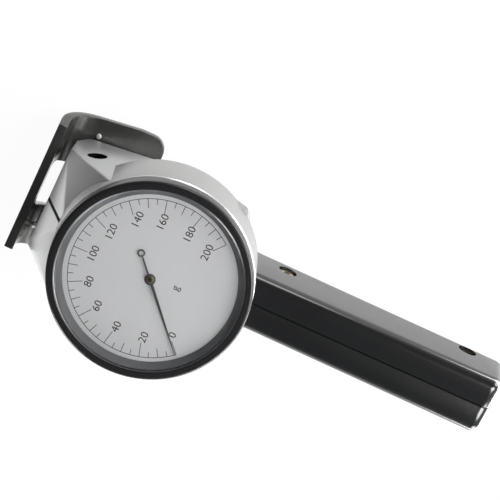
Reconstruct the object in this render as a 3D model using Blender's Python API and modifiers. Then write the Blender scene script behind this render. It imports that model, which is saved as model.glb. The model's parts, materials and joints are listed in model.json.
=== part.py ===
# A hand-held dial tension gauge for thread and fine wire.
# A feeler roller between guide pins under the guard is pushed towards the handle by the thread. Its
# plunger works against the measuring spring and turns a sector, which turns the pinion and the pointer.
# The gauge frame has X to the right, Y towards the guard and Z out of the dial, and its origin is the
# middle of the dial plate's face. The gauge lies on its back, on the guard's foot and the handle's end.

import math

import bmesh
import bpy
from mathutils import Matrix, Vector

MM = 0.001

# Common fits and counts
CLEARANCE = 0.3 * MM
BORE_CLEARANCE = 0.2 * MM
OVERRUN = 3.0 * MM
MERGE = 0.00001
ROUND_STEPS = 60
PIECE_STEPS = 18
SCREW_STEPS = 12
ARC_STEPS = 5

# Dial drum
DRUM_RADIUS = 41.8 * MM
DRUM_WALL = 2.2 * MM
DRUM_FRONT_Z = -2.0 * MM
DRUM_BACK_Z = -27.0 * MM
DRUM_FLOOR = 2.2 * MM
DRUM_EDGE = 0.5 * MM
DRUM_FLOOR_WIDTH = 15.8 * MM
SHELF_FACE_Z = -1.1 * MM
SHELF_WIDTH = 3.3 * MM
SHELF_DEPTH = 3.6 * MM
RIM_GROOVE_WIDTH = 1.6 * MM
RIM_GROOVE_DEPTH = 1.8 * MM

# Dial plate, inner ring, glass and bezel
PLATE_THICKNESS = 0.8 * MM
PLATE_EDGE_GAP = 0.1 * MM
PLATE_HOLE_RADIUS = 2.0 * MM
RING_WIDTH = 3.2 * MM
RING_LIP = 0.4 * MM
RING_HEIGHT = 2.2 * MM
GLASS_THICKNESS = 1.2 * MM
BEZEL_LIP_WIDTH = 0.9 * MM
BEZEL_LIP_HEIGHT = 0.7 * MM
BEZEL_LIP_EDGE = 0.3 * MM
BEZEL_INNER_EDGE = 0.7 * MM
BEZEL_OUTER_ROUND = 1.3 * MM
BEZEL_STEP = 0.2 * MM
BEZEL_SPIGOT_WALL = 0.6 * MM
BEZEL_SPIGOT_DEPTH = 1.3 * MM

# Pointer, hub and arbor
POINTER_LENGTH = 32.6 * MM
POINTER_ROOT_WIDTH = 1.3 * MM
POINTER_TIP_WIDTH = 0.4 * MM
POINTER_EYE_RADIUS = 2.3 * MM
POINTER_TAIL = 11.5 * MM
POINTER_TAIL_WIDTH = 0.7 * MM
POINTER_RING_RADIUS = 1.6 * MM
POINTER_RING_HOLE = 0.95 * MM
POINTER_Z = 1.0 * MM
POINTER_THICKNESS = 0.35 * MM
POINTER_ZERO_DEG = 220.5
POINTER_SWEEP_DEG = 262.0
HUB_FLANGE_RADIUS = 2.2 * MM
HUB_FLANGE_HEIGHT = 0.35 * MM
HUB_COLLAR_RADIUS = 1.5 * MM
HUB_TOP_Z = 1.9 * MM
ARBOR_TIP_Z = 2.4 * MM
ARBOR_TIP_RADIUS = 0.75 * MM
ARBOR_RADIUS = 0.9 * MM
ARBOR_PIVOT_RADIUS = 0.6 * MM
COLLET_RADIUS = 1.9 * MM
COLLET_HEIGHT = 1.6 * MM
COLLET_GAP = 0.9 * MM

# Movement plates and pillars
FRONT_PLATE_Z = -9.0 * MM
FRONT_PLATE_THICKNESS = 1.4 * MM
FRONT_PLATE_RADIUS = 29.0 * MM
BACK_PLATE_THICKNESS = 1.6 * MM
BACK_PLATE_MARGIN = 7.0 * MM
PILLAR_CIRCLE = 25.5 * MM
PILLAR_RADIUS = 2.2 * MM
PILLAR_ANGLES_DEG = (10.0, 165.0, 270.0)
PILLAR_SCREW_RADIUS = 1.0 * MM
PILLAR_SCREW_HEAD = 1.9 * MM
PILLAR_SCREW_HEAD_HEIGHT = 1.1 * MM
PILLAR_SCREW_LENGTH = 4.5 * MM
MOVEMENT_SCREW_MARGIN = 4.0 * MM
MOVEMENT_SCREW_ANGLES_DEG = (55.0, 200.0, 325.0)
DRUM_SCREW_INSET = 3.6 * MM
DRUM_SCREW_ANGLES_DEG = (65.0, 185.0, 355.0)
DRUM_SCREW_RADIUS = 1.25 * MM
DRUM_SCREW_HEAD = 2.3 * MM
DRUM_SCREW_HEAD_HEIGHT = 1.4 * MM
DRUM_SCREW_LENGTH = 4.6 * MM

# Sector and pinion
GEAR_MODULE = 0.4 * MM
PINION_TEETH = 10
SECTOR_FULL_TEETH = 90
SECTOR_SPARE_TEETH = 2
PINION_ADDENDUM_SHARE = 0.85
SECTOR_ADDENDUM_SHARE = 0.65
DEDENDUM_SHARE = 1.2
TOOTH_BACKLASH = 0.1 * MM
PRESSURE_ANGLE_DEG = 20.0
FLANK_POINTS = 3
PINION_FACE_Z = -12.0 * MM
PINION_FACE = 5.0 * MM
SECTOR_THICKNESS = 1.8 * MM
SECTOR_RIM = 2.6 * MM
SECTOR_HUB_RADIUS = 3.4 * MM
SECTOR_SPOKE = 1.8 * MM
SECTOR_ARBOR_RADIUS = 1.2 * MM
SECTOR_PIVOT_RADIUS = 0.8 * MM

# Hairspring
HAIRSPRING_WIRE = 0.4 * MM
HAIRSPRING_INNER_RADIUS = 2.5 * MM
HAIRSPRING_PITCH = 1.2 * MM
HAIRSPRING_TURNS = 4
HAIRSPRING_POINTS = 12
HAIRSPRING_STUD_RADIUS = 0.9 * MM

# Plunger, feeler and measuring spring
FORK_REACH = 5.4 * MM
FORK_Z = -44.0 * MM
FORK_THICKNESS = 2.0 * MM
FORK_HUB_RADIUS = 3.0 * MM
FORK_PRONG = 1.2 * MM
FORK_SLOT_CLEARANCE = 0.15 * MM
FORK_END_SPARE = 1.8 * MM
PLUNGER_Z = -50.0 * MM
PLUNGER_RADIUS = 1.5 * MM
PLUNGER_FOOT_SPARE = 1.4 * MM
PLUNGER_HEAD_RADIUS = 2.0 * MM
COLLAR_RADIUS = 3.2 * MM
COLLAR_HEIGHT = 1.5 * MM
DRIVE_PIN_RADIUS = 0.8 * MM
FEELER_Y = 44.4 * MM
FEELER_PIN_RADIUS = 1.1 * MM
FEELER_PIN_END_Z = -66.9 * MM
ROLLER_RADIUS = 1.9 * MM
ROLLER_GROOVE = 0.35 * MM
ROLLER_FRONT_Z = -61.8 * MM
ROLLER_WIDTH = 4.2 * MM
FEELER_CAP_RADIUS = 1.7 * MM
FRAME_BASE_Z = -54.4 * MM
FRAME_BASE_THICKNESS = 1.8 * MM
FRAME_HALF_WIDTH = 4.0 * MM
FRAME_EAR = 6.0 * MM
FRAME_LUG_FRONT = 3.6 * MM
UPPER_LUG_Y = 34.6 * MM
LOWER_LUG_Y = 22.6 * MM
LUG_THICKNESS = 2.6 * MM
FRAME_SCREW_RADIUS = 1.0 * MM
FRAME_SCREW_HEAD = 1.9 * MM
FRAME_SCREW_HEAD_HEIGHT = 1.0 * MM
FRAME_SCREW_LENGTH = 4.4 * MM
FRAME_PAD_RADIUS = 2.6 * MM
SPRING_WIRE = 0.5 * MM
SPRING_RADIUS = 2.3 * MM
SPRING_TURNS = 6
SPRING_POINTS = 8

# Head halves
RIDGE_Y = 49.5 * MM
RIDGE_Z = -40.6 * MM
RIDGE_END_X = 23.0 * MM
RIDGE_END_Y = 48.7 * MM
SLOPE_FOOT_Y = 41.2 * MM
SLOPE_FOOT_Z = -17.0 * MM
FACET_FOOT_X = 8.4 * MM
FACET_FOOT_Y = 40.7 * MM
FACET_FOOT_Z = -18.0 * MM
FACET_CORNER_X = 28.6 * MM
FACET_CORNER_Y = 30.9 * MM
FACET_CORNER_Z = -5.5 * MM
TOP_BACK_Y = 48.4 * MM
TOP_BACK_Z = -56.0 * MM
BACK_TOP_Y = 44.4 * MM
BACK_TOP_Z = -60.5 * MM
BACK_FOOT_Z = -56.5 * MM
BACK_HALF_WIDTH = 24.9 * MM
FLANK_FRONT_X = 40.7 * MM
LOWER_Y = -21.7 * MM
LOWER_FRONT_X = 36.2 * MM
LOWER_BACK_X = 27.5 * MM
LOWER_BACK_Z = -56.0 * MM
SHOULDER_X = 25.6 * MM
SHOULDER_Y = -29.6 * MM
NECK_X = 12.2 * MM
NECK_Y = -35.3 * MM
HEAD_FOOT_Y = -35.9 * MM
HEAD_WALL = 2.0 * MM
HEAD_FRONT_WALL = 2.2 * MM
HEAD_PARTING = 0.5 * MM
HEAD_SCREW_Y = 38.5 * MM
HEAD_SCREW_Z = -37.0 * MM
HEAD_SCREW_SEAT_X = 20.5 * MM
LOWER_SCREW_Y = -14.0 * MM
LOWER_SCREW_Z = -46.0 * MM
LOWER_SCREW_SEAT_X = 24.0 * MM
TANG_HALF_WIDTH = 6.0 * MM
TANG_FRONT_Z = -37.0 * MM
TANG_BACK_Z = -51.0 * MM
TANG_LENGTH = 26.0 * MM

# Casing screws
CASE_SCREW_RADIUS = 1.5 * MM
CASE_SCREW_HEAD = 3.3 * MM
CASE_SCREW_HEAD_HEIGHT = 2.6 * MM
CASE_SCREW_SOCKET = 1.4 * MM
CASE_SCREW_EDGE = 0.35 * MM
COUNTERBORE_RADIUS = 4.0 * MM
BOSS_WALL = 1.2 * MM
SCREW_BITE = 14.0 * MM

# Handle halves
HANDLE_FRONT_Z = -23.5 * MM
HANDLE_BACK_Z = -57.0 * MM
HANDLE_END_BACK_Z = -52.5 * MM
HANDLE_END_RAKE = 2.2 * MM
HANDLE_END_Y = -152.3 * MM
HANDLE_NECK_HALF = 12.0 * MM
HANDLE_END_HALF = 12.9 * MM
HANDLE_CORNER = 4.5 * MM
HANDLE_WALL = 2.5 * MM
HANDLE_PARTING = 0.3 * MM
HANDLE_GROOVE = 0.35 * MM
HANDLE_SCREW_Z = -45.7 * MM
HANDLE_SCREW_UPPER_Y = -53.6 * MM
HANDLE_SCREW_LOWER_Y = -136.3 * MM
HANDLE_SCREW_SEAT_X = 8.3 * MM
HANDLE_SCREW_BITE = 8.0 * MM

# Guard
GUARD_TOP_Y = 58.0 * MM
GUARD_THICKNESS = 3.8 * MM
GUARD_FRONT_Z = -47.5 * MM
GUARD_BACK_Z = -68.0 * MM
GUARD_BEND_RADIUS = 11.7 * MM
GUARD_TOP_HALF = 28.9 * MM
GUARD_SHOULDER_HALF = 31.2 * MM
GUARD_SHOULDER_RUN = 9.5 * MM
GUARD_SHOULDER_ROUND = 12.0 * MM
GUARD_WIDE_HALF = 36.0 * MM
GUARD_WIDE_RUN = 44.0 * MM
GUARD_WIDE_ROUND = 20.0 * MM
GUARD_FOOT_ROUND = 6.4 * MM
GUARD_LEFT_HALF = 29.6 * MM
GUARD_LEFT_RUN = 20.0 * MM
GUARD_FOOT_Y = 13.1 * MM
GUARD_BEND_STEPS = 10
WINDOW_HALF = 10.5 * MM
WINDOW_FOOT_Y = 38.5 * MM
WINDOW_FRONT_Z = -57.5 * MM
GUARD_SCREW_X = 15.0 * MM
GUARD_SCREW_Y = 24.0 * MM
GUARD_PAD_RADIUS = 4.4 * MM
GUARD_SCREW_RADIUS = 1.5 * MM
GUARD_SCREW_HEAD = 2.7 * MM
GUARD_SCREW_HEAD_HEIGHT = 1.6 * MM
GUARD_SCREW_RECESS = 2.0 * MM
GUARD_SCREW_BITE = 7.0 * MM
GUARD_BOSS_RADIUS = 3.6 * MM
GUIDE_PIN_RADIUS = 1.1 * MM
GUIDE_PIN_REACH = 1.6 * MM
GUIDE_PIN_DOME = 0.5 * MM
GUIDE_PIN_SINK = 2.2 * MM
INNER_PIN_X = 20.2 * MM
INNER_PIN_Y = 49.7 * MM
OUTER_PIN_X = 26.2 * MM
OUTER_PIN_Y = 40.7 * MM

# Sizes that follow from the others
PLATE_BACK_Z = -PLATE_THICKNESS
DRUM_INNER_RADIUS = DRUM_RADIUS - DRUM_WALL
DRUM_OPENING_RADIUS = DRUM_RADIUS - DRUM_FLOOR_WIDTH
DRUM_SCREW_CIRCLE = DRUM_INNER_RADIUS - DRUM_SCREW_INSET
MOVEMENT_SCREW_CIRCLE = DRUM_OPENING_RADIUS + MOVEMENT_SCREW_MARGIN
BACK_PLATE_RADIUS = DRUM_OPENING_RADIUS + BACK_PLATE_MARGIN
SHELF_OUTER_RADIUS = DRUM_INNER_RADIUS - RIM_GROOVE_WIDTH
SHELF_INNER_RADIUS = SHELF_OUTER_RADIUS - SHELF_WIDTH
PLATE_RADIUS = SHELF_OUTER_RADIUS - PLATE_EDGE_GAP
BEZEL_RADIUS = DRUM_RADIUS - BEZEL_STEP
BEZEL_FACE_OUTER_RADIUS = BEZEL_RADIUS - BEZEL_OUTER_ROUND
BEZEL_SPIGOT_RADIUS = DRUM_INNER_RADIUS - CLEARANCE
BEZEL_WALL_RADIUS = BEZEL_SPIGOT_RADIUS - BEZEL_SPIGOT_WALL
BEZEL_LIP_RADIUS = BEZEL_WALL_RADIUS - BEZEL_LIP_WIDTH
BEZEL_FACE_INNER_RADIUS = BEZEL_LIP_RADIUS + BEZEL_INNER_EDGE
GLASS_RADIUS = BEZEL_WALL_RADIUS - CLEARANCE
RING_OUTER_RADIUS = GLASS_RADIUS - CLEARANCE
RING_CONE_RADIUS = RING_OUTER_RADIUS - RING_LIP
RING_INNER_RADIUS = RING_OUTER_RADIUS - RING_WIDTH
DRUM_FLOOR_Z = DRUM_BACK_Z + DRUM_FLOOR
HEAD_FRONT_Z = DRUM_BACK_Z - CLEARANCE
BACK_PLATE_FRONT_Z = DRUM_FLOOR_Z + CLEARANCE + BACK_PLATE_THICKNESS
GLASS_BACK_Z = CLEARANCE + RING_HEIGHT + CLEARANCE
GLASS_FRONT_Z = GLASS_BACK_Z + GLASS_THICKNESS
BEZEL_LIP_Z = GLASS_FRONT_Z + CLEARANCE
BEZEL_FRONT_Z = BEZEL_LIP_Z + BEZEL_LIP_HEIGHT
BEZEL_FOOT_Z = DRUM_FRONT_Z + CLEARANCE
PINION_PITCH_RADIUS = GEAR_MODULE * PINION_TEETH / 2
SECTOR_PITCH_RADIUS = GEAR_MODULE * SECTOR_FULL_TEETH / 2
GEAR_CENTRES = PINION_PITCH_RADIUS + SECTOR_PITCH_RADIUS
GEAR_RATIO = SECTOR_FULL_TEETH / PINION_TEETH
SECTOR_SWING = math.radians(POINTER_SWEEP_DEG) / GEAR_RATIO
SECTOR_X = FORK_REACH
SECTOR_Y = math.sqrt(GEAR_CENTRES ** 2 - SECTOR_X ** 2)
PLUNGER_TRAVEL = 2 * FORK_REACH * math.tan(SECTOR_SWING / 2)
DRIVE_PIN_Y = SECTOR_Y + PLUNGER_TRAVEL / 2
BACK_SLOPE = (BACK_TOP_Z - BACK_FOOT_Z) / (BACK_TOP_Y - HEAD_FOOT_Y)
GUARD_BEND_Z = GUARD_BACK_Z + GUARD_THICKNESS + GUARD_BEND_RADIUS
GUARD_BEND_Y = GUARD_TOP_Y - GUARD_THICKNESS - GUARD_BEND_RADIUS
GUARD_MIDDLE_RADIUS = GUARD_BEND_RADIUS + GUARD_THICKNESS / 2
GUARD_BAR = GUARD_FRONT_Z - GUARD_BEND_Z
GUARD_FOOT_RUN = GUARD_BAR + GUARD_MIDDLE_RADIUS * math.pi / 2 + GUARD_BEND_Y - GUARD_FOOT_Y
HANDLE_TOP_Y = HEAD_FOOT_Y - CLEARANCE
BOSS_RADIUS = COUNTERBORE_RADIUS + BOSS_WALL
LYING_RUN = GUARD_FOOT_Y + HANDLE_END_RAKE - HANDLE_END_Y - HANDLE_CORNER
LYING_TILT = math.atan2(HANDLE_END_BACK_Z - GUARD_BACK_Z, LYING_RUN)


# Scene and materials

def clear_scene():
    for item in list(bpy.data.objects):
        bpy.data.objects.remove(item)


def new_collection(name):
    collection = bpy.data.collections.new(name)
    bpy.context.scene.collection.children.link(collection)
    return collection


def new_finish(name, colour, roughness, metallic=0.0, alpha=1.0):
    finish = bpy.data.materials.new(name)
    finish.use_nodes = True
    shader = finish.node_tree.nodes["Principled BSDF"]
    shader.inputs["Base Color"].default_value = (*colour, 1.0)
    shader.inputs["Roughness"].default_value = roughness
    shader.inputs["Metallic"].default_value = metallic
    shader.inputs["Alpha"].default_value = alpha
    return finish


clear_scene()
PARTS = new_collection("dial_tension_gauge")
CUTTERS = new_collection("cutters")
FRAME = bpy.data.objects.new("gauge_frame", None)
FRAME.rotation_euler.x = LYING_TILT
PARTS.objects.link(FRAME)

SILVER_PAINT = new_finish("silver_paint", (0.50, 0.51, 0.53), 0.42, 0.35)
DRUM_SILVER = new_finish("drum_silver", (0.55, 0.56, 0.57), 0.38, 0.5)
BLACK_PLASTIC = new_finish("black_plastic", (0.014, 0.014, 0.015), 0.5)
BEZEL_BLACK = new_finish("bezel_black", (0.012, 0.012, 0.013), 0.32)
GUARD_BRONZE = new_finish("guard_gunmetal", (0.085, 0.08, 0.072), 0.45, 0.6)
DIAL_SILVER = new_finish("dial_silver", (0.56, 0.57, 0.60), 0.5)
RING_GREY = new_finish("ring_grey", (0.14, 0.155, 0.17), 0.4, 0.3)
CLEAR = new_finish("clear_glass", (0.95, 0.97, 0.98), 0.03, 0.0, 0.12)
POINTER_BLACK = new_finish("pointer_black", (0.01, 0.01, 0.01), 0.4)
BRASS = new_finish("brass", (0.55, 0.42, 0.18), 0.35, 1.0)
STEEL = new_finish("steel", (0.55, 0.55, 0.56), 0.28, 1.0)
SPRING_STEEL = new_finish("spring_steel", (0.35, 0.36, 0.38), 0.3, 1.0)


# Making and placing pieces

def turned_to(axis):
    return Vector((0, 0, 1)).rotation_difference(Vector(axis)).to_matrix().to_4x4()


def put(name, mesh, finish, at=(0, 0, 0), axis=(0, 0, 1)):
    """Place a mesh as a named part, or as a cutter when it has no finish."""
    piece = bpy.data.objects.new(name, mesh)
    home = PARTS if finish else CUTTERS
    home.objects.link(piece)
    piece.parent = FRAME
    piece.matrix_local = Matrix.Translation(at) @ turned_to(axis)
    if finish:
        mesh.materials.append(finish)
    else:
        piece.hide_render = True
        piece.display_type = "WIRE"
    return piece


def finish_mesh(name, bm, smooth=True):
    bmesh.ops.recalc_face_normals(bm, faces=bm.faces)
    mesh = bpy.data.meshes.new(name)
    bm.to_mesh(mesh)
    bm.free()
    if smooth:
        mesh.shade_smooth()
        mesh.set_sharp_from_angle(angle=math.radians(35))
    return mesh


def turned(name, outline, finish, at=(0, 0, 0), axis=(0, 0, 1), steps=ROUND_STEPS):
    """Revolve (radius, height) points that run down the outer side of the piece."""
    bm = bmesh.new()
    corners = [bm.verts.new((radius, 0, height)) for radius, height in outline]
    for first, second in zip(corners, corners[1:]):
        bm.edges.new((first, second))
    if outline[0][0] > 0:
        bm.edges.new((corners[-1], corners[0]))
    mesh = bpy.data.meshes.new(name)
    bm.to_mesh(mesh)
    bm.free()
    piece = put(name, mesh, finish, at, axis)
    screw = piece.modifiers.new("turn", "SCREW")
    screw.steps = steps
    screw.render_steps = steps
    screw.use_merge_vertices = True
    screw.merge_threshold = MERGE
    return piece


def rod(name, radius, low, high, finish, at=(0, 0, 0), axis=(0, 0, 1), steps=SCREW_STEPS):
    bm = bmesh.new()
    bmesh.ops.create_cone(bm, cap_ends=True, segments=steps, radius1=radius, radius2=radius,
                          depth=high - low)
    bmesh.ops.translate(bm, verts=bm.verts, vec=(0, 0, (low + high) / 2))
    return put(name, finish_mesh(name, bm), finish, at, axis)


def box_bmesh(low, high):
    bm = bmesh.new()
    bmesh.ops.create_cube(bm, size=1.0)
    size = [b - a for a, b in zip(low, high)]
    middle = [(a + b) / 2 for a, b in zip(low, high)]
    bmesh.ops.scale(bm, verts=bm.verts, vec=size)
    bmesh.ops.translate(bm, verts=bm.verts, vec=middle)
    return bm


def box(name, low, high, finish=None):
    return put(name, finish_mesh(name, box_bmesh(low, high), smooth=False), finish)


def extruded(name, outlines, low, high, finish, at=(0, 0, 0), basis=None):
    """Fill closed flat outlines, the later ones as holes, between two heights."""
    curve = bpy.data.curves.new(name, "CURVE")
    curve.dimensions = "2D"
    curve.fill_mode = "BOTH"
    curve.extrude = (high - low) / 2
    for outline in outlines:
        spline = curve.splines.new("POLY")
        spline.points.add(len(outline) - 1)
        for point, (x, y) in zip(spline.points, outline):
            point.co = (x, y, 0, 1)
        spline.use_cyclic_u = True
    bm = bmesh.new()
    bm.from_mesh(merged_mesh(name, curve))
    bmesh.ops.translate(bm, verts=bm.verts, vec=(0, 0, (low + high) / 2))
    if basis:
        bmesh.ops.transform(bm, verts=bm.verts, matrix=basis)
    return put(name, finish_mesh(name, bm), finish, at)


def wire(name, points, radius, finish):
    """A round wire through the points, closed at both ends."""
    curve = bpy.data.curves.new(name, "CURVE")
    curve.dimensions = "3D"
    curve.bevel_depth = radius
    curve.bevel_resolution = 1
    curve.use_fill_caps = True
    spline = curve.splines.new("POLY")
    spline.points.add(len(points) - 1)
    for point, place in zip(spline.points, points):
        point.co = (*place, 1)
    return put(name, merged_mesh(name, curve), finish)


def merged_mesh(name, curve):
    """Turn a curve into a mesh whose caps share their corners with its sides."""
    maker = bpy.data.objects.new(name + "_maker", curve)
    bpy.context.scene.collection.objects.link(maker)
    evaluated = maker.evaluated_get(bpy.context.evaluated_depsgraph_get())
    flat = bpy.data.meshes.new_from_object(evaluated)
    bpy.data.objects.remove(maker)
    bpy.data.curves.remove(curve)
    bm = bmesh.new()
    bm.from_mesh(flat)
    bpy.data.meshes.remove(flat)
    bmesh.ops.remove_doubles(bm, verts=bm.verts, dist=MERGE)
    return finish_mesh(name, bm)


def combine(piece, tools, operation):
    for tool in tools:
        change = piece.modifiers.new(tool.name, "BOOLEAN")
        change.operation = operation
        change.object = tool


def cut(piece, *tools):
    combine(piece, tools, "DIFFERENCE")


def join(piece, *tools):
    combine(piece, tools, "UNION")


def circle(radius, steps=PIECE_STEPS, at=(0, 0)):
    return arc(radius, 0, 2 * math.pi * (steps - 1) / steps, steps - 1, at)


def arc(radius, start, end, steps, at=(0, 0)):
    angles = [start + (end - start) * step / steps for step in range(steps + 1)]
    return [(at[0] + radius * math.cos(a), at[1] + radius * math.sin(a)) for a in angles]


def on_circle(radius, degrees):
    angle = math.radians(degrees)
    return radius * math.cos(angle), radius * math.sin(angle)


def rounded(corners, steps=ARC_STEPS):
    """Round each (x, y, radius) corner of a closed outline."""
    outline = []
    for index, (x, y, radius) in enumerate(corners):
        here = Vector((x, y))
        before = (Vector(corners[index - 1][:2]) - here).normalized()
        after = (Vector(corners[(index + 1) % len(corners)][:2]) - here).normalized()
        if radius == 0:
            outline.append((x, y))
            continue
        half = before.angle(after) / 2
        middle = here + (before + after).normalized() * radius / math.sin(half)
        start = here + before * radius / math.tan(half) - middle
        end = here + after * radius / math.tan(half) - middle
        sweep = start.angle_signed(end)
        for step in range(steps + 1):
            turned_arm = Matrix.Rotation(-sweep * step / steps, 2) @ start
            outline.append(tuple(middle + turned_arm))
    return outline


# Fasteners

def socket_screw(name, at, axis, head, head_height, shank, length, finish=STEEL):
    """A screw whose head rests at the point given, with its shank going back along the axis."""
    socket = head / 2
    edge = shank / 4
    outline = [
        (0, head_height / 2), (socket, head_height / 2), (socket, head_height),
        (head - edge, head_height), (head, head_height - edge), (head, 0),
        (shank, 0), (shank, edge - length), (shank - edge, -length), (0, -length),
    ]
    return turned(name, outline, finish, at, axis, SCREW_STEPS)


# Head: a faceted casting cut from a block, split on the middle plane

def plane_through(first, second, third, outside):
    normal = (Vector(second) - Vector(first)).cross(Vector(third) - Vector(first)).normalized()
    if normal.dot(Vector(outside)) < 0:
        normal.negate()
    return Vector(first), normal


def slice_off(bm, point, normal):
    everything = bm.verts[:] + bm.edges[:] + bm.faces[:]
    sliced = bmesh.ops.bisect_plane(bm, geom=everything, dist=MERGE, plane_co=point,
                                    plane_no=normal, clear_outer=True)
    rim = [item for item in sliced["geom_cut"] if isinstance(item, bmesh.types.BMEdge)]
    if rim:
        bmesh.ops.edgeloop_fill(bm, edges=rim)


def head_side_planes(side):
    ridge_end = (side * RIDGE_END_X, RIDGE_END_Y, RIDGE_Z)
    facet_corner = (side * FACET_CORNER_X, FACET_CORNER_Y, FACET_CORNER_Z)
    facet_foot = (side * FACET_FOOT_X, FACET_FOOT_Y, FACET_FOOT_Z)
    below_corner = (side * FACET_CORNER_X, FACET_CORNER_Y, RIDGE_Z)
    flank_back = (side * BACK_HALF_WIDTH, 0, BACK_TOP_Z)
    flank_front = (side * FLANK_FRONT_X, 0, HEAD_FRONT_Z)
    flank_high = (side * BACK_HALF_WIDTH, RIDGE_Y, BACK_TOP_Z)
    lower_front = (side * LOWER_FRONT_X, LOWER_Y, HEAD_FRONT_Z)
    lower_back = (side * LOWER_BACK_X, LOWER_Y, LOWER_BACK_Z)
    shoulder = (side * SHOULDER_X, SHOULDER_Y, LOWER_BACK_Z)
    shoulder_front = (side * SHOULDER_X, SHOULDER_Y, HEAD_FRONT_Z)
    neck = (side * NECK_X, NECK_Y, LOWER_BACK_Z)
    out = (side, 0, 0)
    return [
        plane_through(ridge_end, facet_foot, facet_corner, (0, 1, 0)),
        plane_through(ridge_end, facet_corner, below_corner, out),
        plane_through(flank_back, flank_front, flank_high, out),
        plane_through(lower_front, lower_back, shoulder, out),
        plane_through(shoulder, shoulder_front, neck, (0, -1, 0)),
    ]


def head_planes():
    across = Vector((FACET_CORNER_X, 0, 0))
    ridge = Vector((0, RIDGE_Y, RIDGE_Z))
    slope_foot = Vector((0, SLOPE_FOOT_Y, SLOPE_FOOT_Z))
    top_back = Vector((0, TOP_BACK_Y, TOP_BACK_Z))
    back_top = Vector((0, BACK_TOP_Y, BACK_TOP_Z))
    back_foot = Vector((0, HEAD_FOOT_Y, BACK_FOOT_Z))
    planes = [
        plane_through(ridge, slope_foot, ridge + across, (0, 1, 0)),
        plane_through(ridge, top_back, ridge + across, (0, 1, 0)),
        plane_through(top_back, back_top, top_back + across, (0, 1, 0)),
        plane_through(back_top, back_foot, back_top + across, (0, 0, -1)),
        plane_through(back_foot, back_foot + across, back_foot + Vector((0, 0, DRUM_RADIUS)),
                      (0, -1, 0)),
    ]
    for side in (-1, 1):
        planes += head_side_planes(side)
    return planes


def head_block(inset, front_z):
    low = (-DRUM_RADIUS, HEAD_FOOT_Y, GUARD_BACK_Z)
    high = (DRUM_RADIUS, RIDGE_Y, front_z)
    bm = box_bmesh(low, high)
    for point, normal in head_planes():
        slice_off(bm, point - normal * inset, normal)
    return bm


def head_cutters():
    """The spaces that both head halves leave for the drum, the movement and the feeler."""
    cavity_front = HEAD_FRONT_Z - HEAD_FRONT_WALL
    front = FACET_CORNER_Z + OVERRUN
    cavity = put("head_cavity", finish_mesh("head_cavity", head_block(HEAD_WALL, cavity_front)), None)
    drum_room = rod("drum_room", DRUM_RADIUS + CLEARANCE, HEAD_FRONT_Z, front + OVERRUN, None,
                    steps=ROUND_STEPS)
    below_head = box("room_below_head", (-DRUM_RADIUS - OVERRUN, HEAD_FOOT_Y - OVERRUN, HEAD_FRONT_Z),
                     (DRUM_RADIUS + OVERRUN, LOWER_FRONT_X / 2, front + OVERRUN))
    opening = rod("head_opening", DRUM_OPENING_RADIUS, cavity_front - OVERRUN, HEAD_FRONT_Z + OVERRUN,
                  None, steps=ROUND_STEPS)
    slot_half = FEELER_PIN_RADIUS + CLEARANCE
    slot = box("feeler_slot", (-slot_half, FEELER_Y - PLUNGER_TRAVEL - slot_half, GUARD_BACK_Z),
               (slot_half, FEELER_Y + slot_half, BACK_TOP_Z + HEAD_WALL + OVERRUN))
    return cavity, drum_room, below_head, opening, slot


def drum_screw_holes():
    depth = DRUM_SCREW_LENGTH - DRUM_FLOOR
    low = HEAD_FRONT_Z - depth - CLEARANCE
    return [rod(f"drum_screw_hole_{number}", DRUM_SCREW_RADIUS + BORE_CLEARANCE, low, DRUM_FLOOR_Z + OVERRUN,
                None, at=(*on_circle(DRUM_SCREW_CIRCLE, angle), 0))
            for number, angle in enumerate(DRUM_SCREW_ANGLES_DEG, 1)]


def back_z(y):
    """The head's back face at a height along the gauge."""
    return BACK_TOP_Z + BACK_SLOPE * (y - BACK_TOP_Y)


def case_boss(name, side, y, z, inner, outer, planes=()):
    """A boss from the parting plane outwards, trimmed inside the planes of the head."""
    bm = bmesh.new()
    bmesh.ops.create_cone(bm, cap_ends=True, segments=PIECE_STEPS, radius1=BOSS_RADIUS,
                          radius2=BOSS_RADIUS, depth=outer - inner)
    middle = Matrix.Translation((side * (inner + outer) / 2, y, z))
    bmesh.ops.transform(bm, verts=bm.verts, matrix=middle @ turned_to((side, 0, 0)))
    for point, normal in planes:
        slice_off(bm, point - normal * HEAD_WALL / 2, normal)
    return put(name, finish_mesh(name, bm), None)


def make_head_half(name, side, shared, screw_holes, guard_hole):
    bm = head_block(0, FACET_CORNER_Z + OVERRUN)
    slice_off(bm, (side * HEAD_PARTING / 2, 0, 0), (-side, 0, 0))
    half = put(name, finish_mesh(name, bm), SILVER_PAINT)
    cavity, drum_room, below_head, opening, slot = shared
    cut(half, drum_room, below_head, cavity, opening)
    inner = HEAD_PARTING / 2
    outer = DRUM_RADIUS
    planes = head_planes()
    tang_low, tang_high = sorted((side * inner, side * TANG_HALF_WIDTH))
    guard_boss = rod(name + "_guard_boss", GUARD_BOSS_RADIUS,
                     back_z(GUARD_SCREW_Y) + HEAD_WALL / 2,
                     back_z(GUARD_SCREW_Y) + GUARD_SCREW_BITE + HEAD_WALL, None,
                     at=(side * GUARD_SCREW_X, GUARD_SCREW_Y, 0), steps=PIECE_STEPS)
    tang = box(name + "_tang", (tang_low, HEAD_FOOT_Y - TANG_LENGTH, TANG_BACK_Z),
               (tang_high, HEAD_FOOT_Y + HEAD_WALL / 2, TANG_FRONT_Z))
    join(half, case_boss(name + "_upper_boss", side, HEAD_SCREW_Y, HEAD_SCREW_Z, inner, outer, planes),
         case_boss(name + "_lower_boss", side, LOWER_SCREW_Y, LOWER_SCREW_Z, inner, outer, planes),
         guard_boss, tang)
    if side < 0:
        join(half, *frame_pads())
        cut(half, *frame_screw_holes())
    cut(half, slot, *screw_holes, guard_hole)
    return half


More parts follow.
